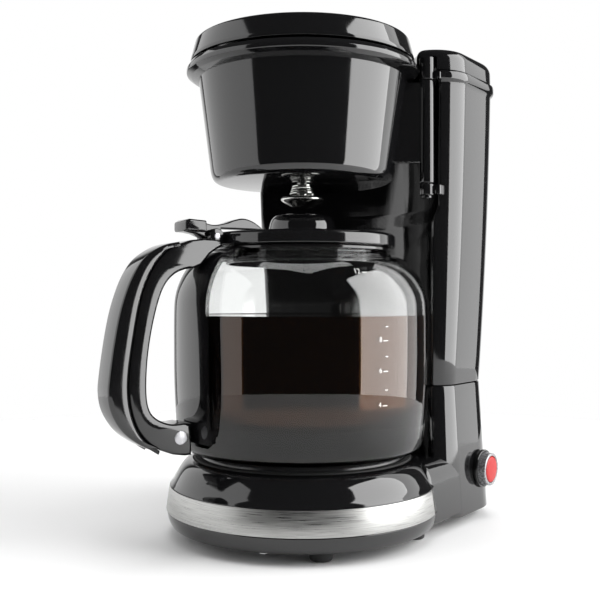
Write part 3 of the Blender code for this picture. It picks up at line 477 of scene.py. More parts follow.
class Finish:
    """A Principled material, with its nodes at hand."""

    def __init__(self, name, colour, roughness, metallic=0.0, **sockets):
        self.material = bpy.data.materials.new(name)
        self.material.use_nodes = True
        self.tree = self.material.node_tree
        self.shader = self.tree.nodes["Principled BSDF"]
        self.shader.inputs["Base Color"].default_value = (*colour, 1)
        self.shader.inputs["Roughness"].default_value = roughness
        self.shader.inputs["Metallic"].default_value = metallic
        for socket, value in sockets.items():
            self.shader.inputs[socket.replace("_", " ")].default_value = value
        self.material.diffuse_color = (*colour, 1)

    def node(self, kind, **values):
        made = self.tree.nodes.new(kind)
        for name, value in values.items():
            made.inputs[name].default_value = value
        return made

    def noise(self, scale, stretch=(1, 1, 1), detail=3.0):
        """Noise on the piece's own coordinates."""
        place = self.node("ShaderNodeTexCoord")
        mapping = self.node("ShaderNodeMapping")
        mapping.inputs["Scale"].default_value = stretch
        noise = self.node("ShaderNodeTexNoise", Scale=scale, Detail=detail)
        self.tree.links.new(place.outputs["Object"], mapping.inputs["Vector"])
        self.tree.links.new(mapping.outputs["Vector"], noise.inputs["Vector"])
        return noise.outputs["Fac"]

    def vary(self, source, socket, low, high):
        """A socket that runs between two numbers as the noise does."""
        spread = self.node("ShaderNodeMapRange")
        spread.inputs["From Min"].default_value = 0.3
        spread.inputs["From Max"].default_value = 0.7
        spread.inputs["To Min"].default_value = low
        spread.inputs["To Max"].default_value = high
        self.tree.links.new(source, spread.inputs["Value"])
        self.tree.links.new(spread.outputs["Result"], self.shader.inputs[socket])

    def tint(self, source, dark, light):
        ramp = self.node("ShaderNodeValToRGB")
        ramp.color_ramp.elements[0].position, ramp.color_ramp.elements[1].position = 0.35, 0.65
        ramp.color_ramp.elements[0].color = (*dark, 1)
        ramp.color_ramp.elements[1].color = (*light, 1)
        self.tree.links.new(source, ramp.inputs["Fac"])
        self.tree.links.new(ramp.outputs["Color"], self.shader.inputs["Base Color"])

    def bump(self, source, strength, distance):
        bump = self.node("ShaderNodeBump", Strength=strength, Distance=distance)
        self.tree.links.new(source, bump.inputs["Height"])
        self.tree.links.new(bump.outputs["Normal"], self.shader.inputs["Normal"])


FINISHES = {}


def gloss_plastic(name, colour, roughness=0.06):
    finish = Finish(name, colour, roughness, Specular_IOR_Level=0.8)
    finish.vary(finish.noise(35), "Roughness", roughness * 0.7, roughness * 1.5)
    finish.bump(finish.noise(1400, detail=2), 0.03, 0.00005)
    return finish.material


def make_finishes(colours):
    made = FINISHES
    made["black"] = gloss_plastic("gloss_black", colours.plastic)
    made["inner_black"] = gloss_plastic("satin_black", (0.012, 0.012, 0.012), 0.3)
    band = Finish("brushed_steel", colours.steel, 0.3, 1.0, Anisotropic=0.6)
    streaks = band.noise(60, (1, 1, 40), 6)
    band.tint(streaks, [0.82 * c for c in colours.steel], [min(1, 1.15 * c) for c in colours.steel])
    band.vary(streaks, "Roughness", 0.24, 0.4)
    band.bump(streaks, 0.12, 0.00006)
    made["band"] = band.material
    bright = Finish("bright_steel", (0.66, 0.66, 0.64), 0.16, 1.0)
    bright.vary(bright.noise(240), "Roughness", 0.1, 0.24)
    made["bright"] = bright.material
    zinc = Finish("zinc", (0.55, 0.55, 0.57), 0.34, 1.0)
    zinc.vary(zinc.noise(400), "Roughness", 0.28, 0.46)
    made["zinc"] = zinc.material
    aluminium = Finish("aluminium", (0.7, 0.7, 0.7), 0.4, 1.0)
    aluminium.bump(aluminium.noise(900), 0.2, 0.0001)
    made["aluminium"] = aluminium.material
    rubber = Finish("rubber", (0.016, 0.016, 0.016), 0.75)
    rubber.bump(rubber.noise(1100, detail=5), 0.3, 0.0002)
    made["rubber"] = rubber.material
    enamel = Finish("plate_enamel", (0.015, 0.015, 0.016), 0.22)
    enamel.bump(enamel.noise(2200, detail=3), 0.15, 0.00008)
    made["enamel"] = enamel.material
    silicone = Finish("silicone", (0.72, 0.72, 0.7), 0.5, Subsurface_Weight=0.2)
    silicone.bump(silicone.noise(800), 0.1, 0.0001)
    made["silicone"] = silicone.material
    white = Finish("white_plastic", (0.75, 0.75, 0.74), 0.4)
    white.bump(white.noise(900), 0.08, 0.0001)
    made["white"] = white.material
    tank = Finish("tank_plastic", (0.72, 0.75, 0.77), 0.12, Transmission_Weight=0.7, IOR=1.5)
    tank.vary(tank.noise(60), "Roughness", 0.08, 0.2)
    made["tank"] = tank.material
    glass = Finish("jug_glass", (0.985, 0.995, 0.99), 0.0, Transmission_Weight=1.0, IOR=1.5)
    glass.bump(glass.noise(16, detail=0), 0.05, 0.0004)
    made["glass"] = glass.material
    coffee = Finish("coffee", colours.coffee, 0.04, IOR=1.5, Specular_IOR_Level=0.3)
    coffee.shader.inputs["Specular Tint"].default_value = (1.0, 0.45, 0.2, 1)
    coffee.tint(
        coffee.noise(30, detail=4), [0.8 * c for c in colours.coffee], [1.2 * c for c in colours.coffee]
    )
    made["coffee"] = coffee.material
    marks = Finish("mark_paint", colours.marks, 0.5)
    marks.bump(marks.noise(2500), 0.2, 0.00005)
    made["marks"] = marks.material
    silver = Finish("silver_plastic", (0.34, 0.34, 0.35), 0.26, 0.6)
    silver.vary(silver.noise(900), "Roughness", 0.2, 0.34)
    made["silver"] = silver.material
    lens = Finish("red_lens", colours.lens, 0.25, Specular_IOR_Level=0.3, Emission_Strength=0.05)
    lens.shader.inputs["Emission Color"].default_value = (*colours.lens, 1)
    lens.bump(lens.noise(700, detail=1), 0.05, 0.0001)
    made["lens"] = lens.material


CAD_FINISHES = {
    "zinc": [
        "bottom_screw_1", "bottom_screw_2", "bottom_screw_3", "bottom_screw_4", "heater_clamp",
        "thermostat", "thermal_fuse", "lid_hinge_pin", "button_spring",
    ],
    "aluminium": ["heater_rod", "heater_tube"],
    "silicone": ["inlet_hose", "riser_tube", "valve_seal"],
    "white": ["check_valve"],
    "inner_black": ["filter_basket", "water_channel", "bottom_cover", "cord_gland"],
    "tank": ["reservoir_tank"],
}


# ---------------------------------------------------------------- operators


class Builder(bpy.types.Operator):
    """Base of the operators that build a group of pieces."""

    bl_options = {"REGISTER", "UNDO"}

    def execute(self, context):
        self.build(context.scene.coffee_sizes, context.scene.coffee_colours)
        return {"FINISHED"}


class COFFEE_OT_stage(Builder):
    """Adds the floor, the soft lights and the camera"""

    bl_idname = "coffee.stage"
    bl_label = "Stage"

    def build(self, sizes, colours):
        make_world()
        make_floor(colours)
        soft_light("right_softbox", 78, 54, 5.4)
        soft_light("right_fill", 113, 18, 2.0)
        soft_light("left_softbox", -98, 88, 1.35)
        overhead_light(34)
        bpy.context.scene.view_settings.view_transform = "Standard"
        make_camera()


def around_camera(turn, distance, height):
    """A place at an angle to the right of the camera's direction from the drum's axis."""
    turn = radians(turn) + CAMERA_TURN
    return AXIS + Vector((sin(turn), -cos(turn), 0)) * distance + Vector((0, 0, height))


def area_light(name, width, height, energy):
    light = bpy.data.lights.new(name, "AREA")
    light.shape = "RECTANGLE"
    light.size, light.size_y = width, height
    light.energy = energy
    lamp = bpy.data.objects.new(name, light)
    bpy.context.collection.objects.link(lamp)
    return lamp


def soft_light(name, turn, spread, radiance):
    """An upright light that fills an angle, in degrees, seen from the drum's axis."""
    low, high = LIGHT_HEIGHTS
    width = 2 * LIGHT_DISTANCE * sin(radians(spread / 2)) / cos(radians(spread / 2))
    lamp = area_light(name, width, high - low, radiance * pi * width * (high - low))
    lamp.location = around_camera(turn, LIGHT_DISTANCE, (low + high) / 2)
    inwards = AXIS + Vector((0, 0, (low + high) / 2)) - lamp.location
    lamp.rotation_euler = inwards.to_track_quat("-Z", "Y").to_euler()


def overhead_light(energy):
    """A square light above the drum, which nothing mirrors."""
    lamp = area_light("overhead", OVERHEAD_SIZE, OVERHEAD_SIZE, energy)
    lamp.location = AXIS + Vector((0, 0, OVERHEAD_HEIGHT))
    lamp.visible_glossy = False


def make_world():
    """White straight behind the object and through its glass, and dim wherever a surface mirrors it."""
    world = bpy.data.worlds.new("studio")
    bpy.context.scene.world = world
    world.use_nodes = True
    tree = world.node_tree
    tree.nodes.clear()

    def worked_out(operation, *sources):
        """The result of a Math node, held between 0 and 1."""
        made = tree.nodes.new("ShaderNodeMath")
        made.operation = operation
        made.use_clamp = True
        for socket, source in zip(made.inputs, sources):
            if isinstance(source, (int, float)):
                socket.default_value = source
            else:
                tree.links.new(source, socket)
        return made.outputs[0]

    path = tree.nodes.new("ShaderNodeLightPath")
    mirrored = worked_out("ADD", path.outputs["Glossy Depth"], path.outputs["Diffuse Depth"])
    straight = worked_out("SUBTRACT", 1.0, mirrored)
    direction = tree.nodes.new("ShaderNodeTexCoord").outputs["Generated"]
    away = tree.nodes.new("ShaderNodeVectorMath")
    away.operation = "DOT_PRODUCT"
    away.inputs[1].default_value = (-sin(CAMERA_TURN), cos(CAMERA_TURN), 0)
    tree.links.new(direction, away.inputs[0])
    backdrop = tree.nodes.new("ShaderNodeMapRange")
    backdrop.interpolation_type = "SMOOTHSTEP"
    backdrop.inputs["From Min"].default_value, backdrop.inputs["From Max"].default_value = 0.8, 0.9
    backdrop.inputs["To Min"].default_value, backdrop.inputs["To Max"].default_value = 0.05, 1.0
    tree.links.new(away.outputs["Value"], backdrop.inputs["Value"])
    shown = tree.nodes.new("ShaderNodeMath")
    shown.operation = "MAXIMUM"
    tree.links.new(straight, shown.inputs[0])
    tree.links.new(backdrop.outputs["Result"], shown.inputs[1])
    white = tree.nodes.new("ShaderNodeBackground")
    white.inputs["Color"].default_value = (1, 1, 1, 1)
    tree.links.new(shown.outputs[0], white.inputs["Strength"])
    out = tree.nodes.new("ShaderNodeOutputWorld")
    tree.links.new(white.outputs[0], out.inputs["Surface"])


def make_floor(colours):
    deselect()
    bpy.ops.mesh.primitive_circle_add(
        vertices=96, radius=0.6, fill_type="NGON", location=(AXIS.x, AXIS.y, -0.0002)
    )
    floor = bpy.context.object
    floor.name = "floor"
    finish = Finish("floor", colours.floor, 0.6)
    finish.bump(finish.noise(300), 0.02, 0.0001)
    floor.data.materials.append(finish.material)


def make_camera():
    camera = bpy.data.cameras.new("camera")
    camera.lens, camera.sensor_width = 54, 36
    camera.dof.use_dof = False
    thing = bpy.data.objects.new("camera", camera)
    bpy.context.collection.objects.link(thing)
    aside = Vector((cos(CAMERA_TURN), sin(CAMERA_TURN), 0)) * CAMERA_ASIDE
    thing.location = around_camera(0, CAMERA_DISTANCE, CAMERA_HEIGHT) + aside
    thing.rotation_euler = (radians(90), 0, CAMERA_TURN)
    bpy.context.scene.camera = thing


class COFFEE_OT_base(Builder):
    """Builds the drum, its band and warming plate, the box behind it and the feet"""

    bl_idname = "coffee.base"
    bl_label = "Base"

    def build(self, sizes, colours):
        black = FINISHES["black"]
        shoulder = smooth(
            [
                (67.7, 46.0), (70.4, 45.1), (73.0, 43.0), (75.3, 40.0), (77.4, 36.4), (79.3, 33.0),
                (81.2, 30.5),
            ],
            4,
        )
        skirt = smooth([(83.1, 15.0), (82.7, 12.2), (81.6, 8.9), (80.2, 6.7), (78.6, 6.0)], 4)
        inside = [
            (76.6, 6.1), (76.4, 26), (74.4, 31), (70.5, 38.5), (67.2, 42.4), (67.0, 43.4), (67.0, 45.3)
        ]
        drum = turned(closed_ring(shoulder + [(80.6, 30.25), (82.6, 15.5), (83.0, 15.4)] + skirt + inside))
        finished(drum, "drum_shell", "machine", black, ["base_housing"])
        inner = [
            (84.5, tower_plan(tower_taper(80) + WALL, JUG_HOLLOW, 0)),
            (BASE_LOW + 0.2, tower_plan(tower_taper(6) + WALL, JUG_HOLLOW, 0)),
        ]
        outer = [
            (z, tower_plan(tower_taper(z), JUG_HOLLOW))
            for z in (BASE_LOW, 20, 35, 50, 65, 80, SEAM - 0.8)
        ]
        outer += [
            (SEAM - 0.25, tower_plan(tower_taper(SEAM), JUG_HOLLOW, 0.2)),
            (SEAM, tower_plan(tower_taper(SEAM), JUG_HOLLOW, 0.8)),
        ]
        box = lofted(inner + outer)
        finished(box, "base_box", "machine", black)
        sections = []
        for z, back, front in (
            (9, 0, 22.2), (28, 0, 22.2), (33, 0.1, 22.3), (36, 0.6, 22.7), (39, 1.8, 23.8),
            (41.4, 3.6, 25.5), (43.2, 6.2, 28), (44.2, 9.4, 31), (44.5, 13, 34),
        ):
            side = TOWER_HALF_WIDTH - tower_taper(z) - back - 0.1
            outline = filleted([(side, front, 4), (side, 95), (-side, 95), (-side, front, 4)])
            sections.append((z, outline))
        finished(lofted(sections), "base_shoulder", "machine", black)
        low, high = foot_of("base_band"), top_of("base_band")
        edge_low, edge_high = 83.5, 81.45
        profile = filleted(
            [
                (edge_high, high, 0.25), (edge_low, low, 0.25), (edge_low - 0.6, low, 0.1),
                (edge_high - 0.6, high, 0.1),
            ],
            steps=3,
        )
        band = turned(closed_ring(profile), turn=180 + 2 * BAND_REACH, start=180 - BAND_REACH, steps=120)
        cap_ends(band)
        finished(band, "steel_band", "machine", FINISHES["band"], ["base_band"])
        plate = [
            (0, 50), (58, 50), (60.6, 49.9), (61.8, 49.4), (62.6, 48.4), (62.9, 47), (63, 41), (61.8, 41),
            (61.6, 46.5), (60.6, 48.4), (0, 48.8),
        ]
        finished(
            turned(plate), "warming_plate_skin", "machine", FINISHES["enamel"], ["warming_plate"]
        )
        seal = filleted([(63.3, 46.9, 0.5), (66.7, 46.7, 0.6), (66.7, 42), (63.3, 42)])
        finished(
            turned(closed_ring(seal)), "plate_seal_skin", "machine", FINISHES["rubber"],
            ["plate_seal"],
        )
        for number in range(1, 7):
            node = f"foot_{number}"
            place = (middle_of(node) - AXIS).xy / MM
            profile = [
                (0, 6.2), (6.4, 6.2), (6.4, 1.3), (6.1, 0.5), (5.5, 0.05), (4.4, 0), (3.6, 0.5), (0, 0.5)
            ]
            finished(
                turned(profile, steps=40, centre=place),
                f"rubber_foot_{number}",
                "machine",
                FINISHES["rubber"],
                [node],
            )


class COFFEE_OT_tower(Builder):
    """Builds the tower's housing with its hinge brackets and pin"""

    bl_idname = "coffee.tower"
    bl_label = "Tower"

    def build(self, sizes, colours):
        black = FINISHES["black"]
        low = foot_of("tower_housing")
        sections = [
            (low, tower_plan(tower_taper(low), JUG_HOLLOW, 0.8)),
            (low + 0.3, tower_plan(tower_taper(low), JUG_HOLLOW, 0.2)),
        ]
        for z in (
            89.2, 105, 120, 135, 150, 165, 180, 189.5, 190.6, 192, 195, 198, 199.4, 200.5, 215, 230, 245,
            260, 274, 275.6,
        ):
            sections.append((z, tower_plan(tower_taper(z), hollow_at(z))))
        for z, inset in (
            (276.4, -0.25), (277.2, -1.0), (278.0, -1.75), (278.8, -2.0), (281.4, -2.0), (282.3, -1.8),
            (282.8, -1.2),
        ):
            sections.append((z, tower_plan(inset, BASKET_HOLLOW)))
        sections.append((282.8, tower_plan(1.6, BASKET_HOLLOW + 1, 0.4)))
        sections += [
            (z, tower_plan(tower_taper(z) + WALL, hollow_at(z), 0))
            for z in (280, 200, 190, low + 0.2)
        ]
        tower = lofted(sections, looped=True)
        finished(tower, "tower_shell", "machine", black, ["tower_housing"])
        for name, bottom, top, arm_top in (("lower", 206.0, 213.0, 212.6), ("upper", 277.0, 290.8, 282.0)):
            knuckle = rod((*HINGE, bottom), (*HINGE, top), 4.6, 0.6)
            arm = block(
                (HINGE[0] - 1, HINGE[1] + 1, bottom + 0.4), (HINGE[0] + 8.5, HINGE[1] + 7.5, arm_top), 0.8
            )
            finished(joined(knuckle, arm), f"{name}_bracket", "machine", black)
        pin = [
            (0, 288.4), (1.9, 288.4), (1.9, 205.7), (3.2, 205.7), (3.2, 204.5), (2.6, 204.0), (0, 203.95)
        ]
        finished(
            turned(pin, steps=36, centre=HINGE),
            "basket_pin",
            "machine",
            black,
            ["hinge_pin"],
        )
        y, z = LID_HINGE
        for side in (-1, 1):
            x = 33.0 * side
            eye = rod((x - 2.2, y, z), (x + 2.2, y, z), 2.2, 0.3, 32)
            post = block((x - 1.8, TOWER_REAR + 0.3, 274), (x + 1.8, y + 1.8, z), 0.5)
            name = "left" if side < 0 else "right"
            finished(joined(eye, post), f"{name}_lid_post", "machine", black)


class COFFEE_OT_tank_lid(Builder):
    """Builds the lid over the water tank"""

    bl_idname = "coffee.tank_lid"
    bl_label = "Tank lid"

    def build(self, sizes, colours):
        low, top = foot_of("reservoir_lid"), top_of("reservoir_lid")
        sections = [
            (top - 2, tower_plan(1.2, LID_HOLLOW, 3)),
            (top - 6, tower_plan(0.2, LID_HOLLOW, 2.2)),
            (low, tower_plan(0, LID_HOLLOW, 2.0)),
        ]
        curve = [
            (low, 0.35), (low + 0.3, 0.05), (low + 0.9, 0), (top - 6.5, 0.1), (top - 5, 0.3),
            (top - 3.6, 0.8), (top - 2.4, 1.6), (top - 1.4, 2.7), (top - 0.7, 4.1), (top - 0.2, 6.0),
            (top, 8.5),
        ]
        sections += [(z, tower_plan(0, LID_HOLLOW, inset)) for z, inset in curve]
        lid = lofted(sections)
        cut_with(lid, block((-NOTCH_HALF, 60, low - 5), (NOTCH_HALF, 90, NOTCH_TOP), 0.01))
        for side in (-1, 1):
            cut_with(
                lid, rod((side * HINGE[0], HINGE[1], low - 5), (side * HINGE[0], HINGE[1], 291.6), 6.2, 0)
            )
        finished(lid, "tank_lid_skin", "tank_lid", FINISHES["black"], ["reservoir_lid"])
        y, z = LID_HINGE
        for side in (-1, 1):
            x = 27.0 * side
            lug = joined(
                rod((x - 3, y, z), (x + 3, y, z), 2.4, 0.3, 32),
                block((x - 3, TOWER_REAR - 1.5, z - 2.4), (x + 3, y, z + 2.4), 0.5),
            )
            name = "left" if side < 0 else "right"
            finished(lug, f"{name}_lid_lug", "tank_lid", FINISHES["black"])


class COFFEE_OT_top_cover(Builder):
    """Builds the round cover over the filter"""

    bl_idname = "coffee.top_cover"
    bl_label = "Top cover"

    def build(self, sizes, colours):
        crown = filleted(
            [
                (40, 301.75), (60.5, 300.9, 8), (65.9, 299.3, 2.4), (68.9, 287.9, 4), (68.9, 286.3, 0.3),
                (66.9, 286.3, 0.3),
            ],
            closed=False,
        )
        rim = [(66.7, 290), (64.9, 296), (62, 297.6), (55, 298.7), (0, 299.8)]
        cover = turned([(0, 302), (20, 301.95), *crown, *rim])
        cut_with(cover, block((-NOTCH_HALF, 40, 281), (NOTCH_HALF, 90, NOTCH_TOP), 0.01))
        finished(cover, "top_cover_skin", "machine", FINISHES["black"], ["top_cover"])


class COFFEE_OT_basket(Builder):
    """Builds the swing-out holder of the filter basket"""

    bl_idname = "coffee.basket"
    bl_label = "Basket"

    def build(self, sizes, colours):
        foot = smooth(
            [(50.5, 213.5), (52.8, 213.9), (54.7, 215.2), (55.9, 217.3), (56.6, 220), (57.1, 223.5)], 4
        )
        flange = filleted(
            [
                (63.9, 276.2, 1.2), (68.2, 277.7, 1.5), (71.3, 279.6, 1.2), (71.3, 281.9, 1.4),
                (69.6, 284.7, 1.2), (66.4, 285, 0.8), (64.6, 283, 1),
            ],
            closed=False,
        )
        inside = [(61.6, 279.5), (61.4, 276), (54.9, 225), (53.2, 219), (50, 216), (4.2, 216)]
        bowl = turned(closed_ring([(4.2, 213.5), *foot, *flange, *inside]))
        finished(bowl, "basket_bowl", "basket", FINISHES["black"], ["basket_holder"])
        barrel = rod((*HINGE, 213.4), (*HINGE, 276.6), 4.6, 0.7)
        turn = atan2(HINGE[1], HINGE[0])
        sections = []
        for z, inner, half in (
            (226, 56.2, 1.8), (226.6, 56.3, 2.4), (227.5, 56.4, 2.6), (274, 62.2, 2.6), (275, 62.4, 2.4),
            (275.5, 62.5, 1.8),
        ):
            away, side = Vector((cos(turn), sin(turn))), Vector((-sin(turn), cos(turn))) * half
            corners = [away * inner - side, away * 76 - side, away * 76 + side, away * inner + side]
            sections.append((z, [tuple(corner) for corner in corners]))
        finished(
            joined(barrel, lofted(sections)), "basket_hinge_plate", "basket", FINISHES["black"],
        )


class COFFEE_OT_drip_stop(Builder):
    """Builds the drip stop's valve and its coil spring"""

    bl_idname = "coffee.drip_stop"
    bl_label = "Drip stop"

    def build(self, sizes, colours):
        head = smooth(
            [
                (10.5, 205.5), (12.4, 205.1), (13.2, 204.3), (13.1, 203.2), (11.2, 201.7), (8.4, 200.2),
                (7.2, 199.5),
            ],
            4,
        )
        profile = [
            (0, 223), (3.1, 223), (3.4, 222.7), (3.4, 206.3), (3.8, 205.8), (5, 205.6), *head,
            (6.2, 199.0), (5.2, 198.9), (4.2, 199.4), (0, 199.6),
        ]
        finished(
            turned(profile, steps=72), "valve_body", "drip_stop", FINISHES["bright"],
            ["drip_valve"],
        )
        points, turns = [], 4
        low, high = 206.5, 212.5
        for step in range(turns * 36 + 1):
            share = step / (turns * 36)
            radius, turn = 7.6 - 2.0 * share, tau * turns * share
            points.append((radius * cos(turn), radius * sin(turn), low + (high - low) * share))
        spring = wire(points, sizes.spring_wire)
        finished(spring, "valve_spring", "basket", FINISHES["bright"], ["drip_spring"])
        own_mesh(spring)


GLASS_BODY = [(71.5, 52.4), (73.7, 55), (75, 64), (76.5, 92), (76.8, 117), (76.7, 135), (76.1, 143)]
GLASS_SHOULDER = [
    (74.2, 150), (70.2, 158), (64.5, 164.6), (57.5, 168.4), (53, 170), (51.6, 171), (51.5, 172.5)
]


class COFFEE_OT_jug(Builder):
    """Builds the glass jug, its collar, the coffee and the printed cup marks"""

    bl_idname = "coffee.jug"
    bl_label = "Jug"

    def build(self, sizes, colours):
        wall = sizes.glass_wall / MM
        outside = smooth([(69.6, 50.9), *GLASS_BODY, *GLASS_SHOULDER], 5)
        inner_side = beside(smooth([(76.2, 80), *GLASS_BODY[3:], *GLASS_SHOULDER], 5), wall)
        heel = smooth([(40, 66.0), (58, 66.4), (66.5, 67.8), (70.8, 71), (73.0, 77)], 5)
        profile = [
            (0, 50.7), (60, 50.6), (66, 50.35), (68, 50.4), *outside, (50.3, 172.7), *inner_side[::-1],
            *heel[::-1], (0, 66),
        ]
        glass = turned(profile)
        finished(glass, "jug_glass", "jug", FINISHES["glass"], ["carafe_glass"], angle=50)
        level = sizes.coffee_level / MM
        side = [point for point in inner_side if point[1] < level - 1.2]
        body = [(0, 65.85), *[(r + 0.25, z - 0.15) for r, z in heel], *[(r + 0.25, z) for r, z in side]]
        radius = side[-1][0]
        top = [
            (radius + 0.25, level), (radius - 0.6, level - 0.25), (radius - 2, level - 0.6),
            (0, level - 0.6),
        ]
        finished(turned(body + top), "coffee", "jug", FINISHES["coffee"], angle=40)
        collar = filleted(
            [(51.9, 173, 0.3), (54.6, 173, 0.4), (54.6, 171.3, 0.4), (51.9, 171.3, 0.3)], steps=3
        )
        finished(
            turned(closed_ring(collar)), "jug_collar", "jug", FINISHES["black"],
            ["carafe_collar"],
        )
        for number, height in ((4, 83.3), (5, 92.0), (6, 102.3), (7, 110.5), (8, 119.2), (9, 127.0)):
            printed_mark(number, height, sizes.mark_height / MM)
        printed_mark(12, 157, sizes.mark_height / MM)


def glass_radius(height):
    """Radius of the jug's outside at a height."""
    points = smooth([*GLASS_BODY, *GLASS_SHOULDER], 5)
    for (r0, z0), (r1, z1) in zip(points, points[1:]):
        if z0 <= height <= z1 and z1 > z0:
            return r0 + (r1 - r0) * (height - z0) / (z1 - z0)
    return points[0][0]


def printed_mark(number, height, tall):
    """A cup's tick on the glass, with its number on the even cups."""
    even = number % 2 == 0
    pieces = []
    deselect()
    length = 3.6 if even else 2.0
    bpy.ops.mesh.primitive_grid_add(x_subdivisions=12, y_subdivisions=2, size=1)
    tick = bpy.context.object
    tick.scale = (length * MM, 0.5 * MM, 1)
    tick.location = ((3.9 - length / 2) * MM, 0, 0)
    bpy.ops.object.transform_apply(location=True, rotation=True, scale=True)
    pieces.append(tick)
    if even:
        deselect()
        bpy.ops.object.text_add()
        text = bpy.context.object
        text.data.body = str(number)
        text.data.size = tall * MM * 1.2
        text.data.align_x, text.data.align_y = "RIGHT", "CENTER"
        bpy.ops.object.convert(target="MESH")
        digits = bpy.context.object
        digits.location = (-0.5 * MM, 0.5 * MM, 0)
        bpy.ops.object.transform_apply(location=True, rotation=True, scale=True)
        pieces.append(digits)
    mark = joined(*pieces)
    facing = CAMERA_TURN - pi / 2 + radians(35 if number < 12 else 27)
    for vertex in mark.data.vertices:
        x, y, _ = vertex.co / MM
        radius = glass_radius(height + y) + 0.06
        turn = facing + x / radius
        vertex.co = AXIS + Vector((radius * cos(turn), radius * sin(turn), height + y)) * MM
    finished(mark, f"cup_mark_{number}", "jug", FINISHES["marks"])


HANDLE_SEAM = smooth(
    [
        (86, 173.6), (93, 169.6), (100.8, 161.3), (106.1, 151.5), (109.9, 140), (113.7, 119.6),
        (116.1, 103), (116.5, 91), (115.0, 80.5), (111.2, 70.5), (105.2, 63), (97.8, 58),
    ],
    6,
)


class COFFEE_OT_handle(Builder):
    """Builds the jug's handle: the strip on the glass, the body, the grip, the screw and the pin"""

    bl_idname = "coffee.handle"
    bl_label = "Handle"

    def build(self, sizes, colours):
        black = FINISHES["black"]
        side = [point for point in smooth([*GLASS_BODY, *GLASS_SHOULDER], 5) if 60 < point[1] < 169]
        near, far = beside(side, -0.4), beside(side, -3.0)
        half = degrees(21 / 78)  # of the strip, 42 mm wide
        strip = turned(
            closed_ring(near + far[::-1]), turn=2 * half, start=degrees(HANDLE_TURN) - half, steps=24
        )
        cap_ends(strip)
        finished(strip, "handle_strip", "jug", black, ["handle_plate"])
        top = [(60.3, 172.6), (60.3, 176.4), (72, 176.6), (80, 175.6)]
        foot = [(91, 55.4), (84, 54.2), (79.8, 54.2), (79.8, 72)]
        opening = smooth(
            [
                (84, 72.5), (91.7, 72.4), (100, 75.6), (104.9, 81), (106.7, 91), (106.1, 108),
                (103.6, 125), (99.6, 141), (95.5, 150.5), (89.5, 156.5), (82.5, 159.2), (78.6, 159.4),
            ],
            4,
        )
        shoulder = [(73.6, 161.3), (68.2, 167.8), (64, 170.8)]
        body = slab(top + HANDLE_SEAM + foot + opening + shoulder, HANDLE_HALF, 1.6)
        ear = rod(*[in_handle_plane(*HANDLE_PIN, across) for across in (-9.2, 9.2)], 4.4, 0.6)
        finished(joined(body, ear), "handle_frame", "jug", black, ["handle_body"])
        outer = smooth(
            [
                (86, 174.6), (95, 172.6), (103, 168.5), (109.7, 162.8), (115.5, 153.6), (120.1, 141.7),
                (123.2, 130), (126, 114.4), (128.1, 99), (128.6, 91), (127.4, 83), (124.1, 75.5),
                (118.4, 68.2), (109.7, 61.8), (101.5, 57.8),
            ],
            5,
        )
        seam = beside(HANDLE_SEAM[6:], 0.3)
        finished(
            slab(outer + seam[::-1], HANDLE_HALF, 2.4, 6),
            "handle_cover",
            "jug",
            black,
            ["handle_grip"],
        )
        screw = rod(*[in_handle_plane(86.5, 64.5, across) for across in (7.1, 10.2)], 4.0, 0.5)
        finished(screw, "handle_screw_head", "jug", FINISHES["zinc"], ["handle_screw"])
        pin = rod(*[in_handle_plane(*HANDLE_PIN, across) for across in (-9.5, 9.5)], 1.9, 0.4, 32)
        finished(pin, "jug_lid_pin", "jug", FINISHES["zinc"], ["lid_pin"])


class COFFEE_OT_jug_lid(Builder):
    """Builds the jug's lid and its thumb lever"""

    bl_idname = "coffee.jug_lid"
    bl_label = "Jug lid"

    def build(self, sizes, colours):
        dome = smooth(
            [
                (13.4, 194.3), (16.4, 193.7), (18.6, 192.0), (19.9, 189.4), (20.6, 186.2), (21.4, 183.9),
                (23.2, 182.9),
            ],
            4,
        )
        rim = filleted(
            [
                (40, 182.5), (55.7, 181.6, 1.5), (57.5, 180, 1.2), (57.5, 174.3, 1), (56.4, 173.4, 0.6),
                (47.6, 173.4, 0.5), (47.6, 165, 0.5), (45.8, 165, 0.4),
            ],
            closed=False,
        )
        inside = [(45.8, 179.6), (20, 180.2), (17.6, 190), (13, 192), (3, 192)]
        lid = turned(closed_ring([(3, 194.3), *dome, *rim, *inside]))
        finished(lid, "jug_lid_skin", "jug_lid", FINISHES["black"], ["carafe_lid"])
        hump = smooth(
            [
                (30, 183.2), (33, 185.6), (38, 188.4), (44, 189.8), (50, 188.6), (57, 186.2), (64, 185.2),
                (71, 186.6), (79.4, 187.4),
            ],
            4,
        )
        under = [
            (82.3, 185.7), (82.3, 180.8), (75, 179.8), (68.5, 177.4), (66, 174.9), (63.5, 174.3),
            (61, 175), (59.6, 177.5), (58.6, 183.2),
        ]
        lever = slab(hump + under, 5, 1.0)
        thumb = slab(
            filleted(
                [
                    (69.5, 180.4, 1), (82.8, 180.9, 1.5), (82.8, 186.2, 1.5), (80.3, 187.8, 1.5),
                    (69.5, 187.2, 1),
                ]
            ),
            8.5,
            1.4,
        )
        finished(
            joined(lever, thumb), "thumb_lever", "jug_lid", FINISHES["black"], ["lid_lever"]
        )


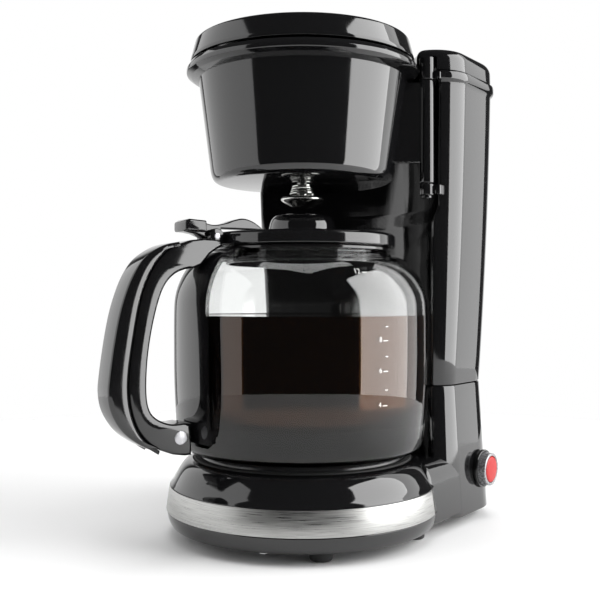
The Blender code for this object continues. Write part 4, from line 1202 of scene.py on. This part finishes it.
class COFFEE_OT_switch(Builder):
    """Builds the switch's bezel, button and lens"""

    bl_idname = "coffee.switch"
    bl_label = "Switch"

    def build(self, sizes, colours):
        flank = TOWER_HALF_WIDTH - tower_taper(BUTTON.z)
        bezel = closed_ring(
            filleted(
                [
                    (11.1, -3), (11.1, 0.4, 0.2), (12.3, 0.6, 0.4), (12.3, 2.6, 0.8), (10.9, 2.6, 0.4),
                    (10.9, -3),
                ],
                steps=3,
            )
        )
        collar = filleted([(10.6, -3), (10.6, 7.5, 1.1), (8.7, 7.5, 0.4), (8.7, 5.2)], closed=False)
        lens = smooth([(8.4, 5.5), (8.3, 7.1), (7.6, 7.6), (5, 7.9), (0, 8.0)], 3)
        for name, profile, body, finish, slot, nodes in (
            ("switch_rim", bezel, "machine", "black", "gloss_black", ["switch_bezel"]),
            (
                "button_collar",
                closed_ring([(0, -3), *collar, (0, 5.2)]),
                "power_switch",
                "silver",
                "silver_plastic",
                ["power_button"],
            ),
            ("button_face", [(0, 5.4), *lens], "power_switch", "lens", "red_plastic", ["button_lens"]),
        ):
            piece = turned(profile, steps=72)
            onto = Matrix.Translation(
                AXIS + Vector((flank, BUTTON.y, BUTTON.z)) * MM
            ) @ Matrix.Rotation(pi / 2, 4, "Y") @ Matrix.Translation(-AXIS)
            piece.data.transform(onto)
            finished(piece, name, body, FINISHES[finish], nodes)


class COFFEE_OT_inner_parts(Builder):
    """Gives the pieces kept from the frame their finishes"""

    bl_idname = "coffee.inner_parts"
    bl_label = "Inner parts"

    def build(self, sizes, colours):
        for finish, nodes in CAD_FINISHES.items():
            for node in nodes:
                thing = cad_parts[node]
                thing.data.materials.clear()
                thing.data.materials.append(FINISHES[finish])


BUILDERS = (
    COFFEE_OT_stage,
    COFFEE_OT_base,
    COFFEE_OT_tower,
    COFFEE_OT_tank_lid,
    COFFEE_OT_top_cover,
    COFFEE_OT_basket,
    COFFEE_OT_drip_stop,
    COFFEE_OT_jug,
    COFFEE_OT_handle,
    COFFEE_OT_jug_lid,
    COFFEE_OT_switch,
    COFFEE_OT_inner_parts,
)


class COFFEE_PT_panel(bpy.types.Panel):
    """Lists the sizes, the colours and the build steps"""

    bl_idname = "COFFEE_PT_panel"
    bl_label = "Coffee maker"
    bl_space_type = "VIEW_3D"
    bl_region_type = "UI"
    bl_category = "Coffee maker"

    def draw(self, context):
        for group in (context.scene.coffee_sizes, context.scene.coffee_colours):
            for name in group.__annotations__:
                self.layout.prop(group, name)
        for builder in BUILDERS:
            self.layout.operator(builder.bl_idname)


CLASSES = (CoffeeMakerSizes, CoffeeMakerColours, *BUILDERS, COFFEE_PT_panel)


def register():
    for kind in CLASSES:
        bpy.utils.register_class(kind)
    bpy.types.Scene.coffee_sizes = bpy.props.PointerProperty(type=CoffeeMakerSizes)
    bpy.types.Scene.coffee_colours = bpy.props.PointerProperty(type=CoffeeMakerColours)


def unregister():
    del bpy.types.Scene.coffee_colours
    del bpy.types.Scene.coffee_sizes
    for kind in reversed(CLASSES):
        bpy.utils.unregister_class(kind)


def main():
    register()
    make_finishes(bpy.context.scene.coffee_colours)
    for builder in BUILDERS:
        family, name = builder.bl_idname.split(".")
        getattr(getattr(bpy.ops, family), name)()


if __name__ == "__main__":
    main()
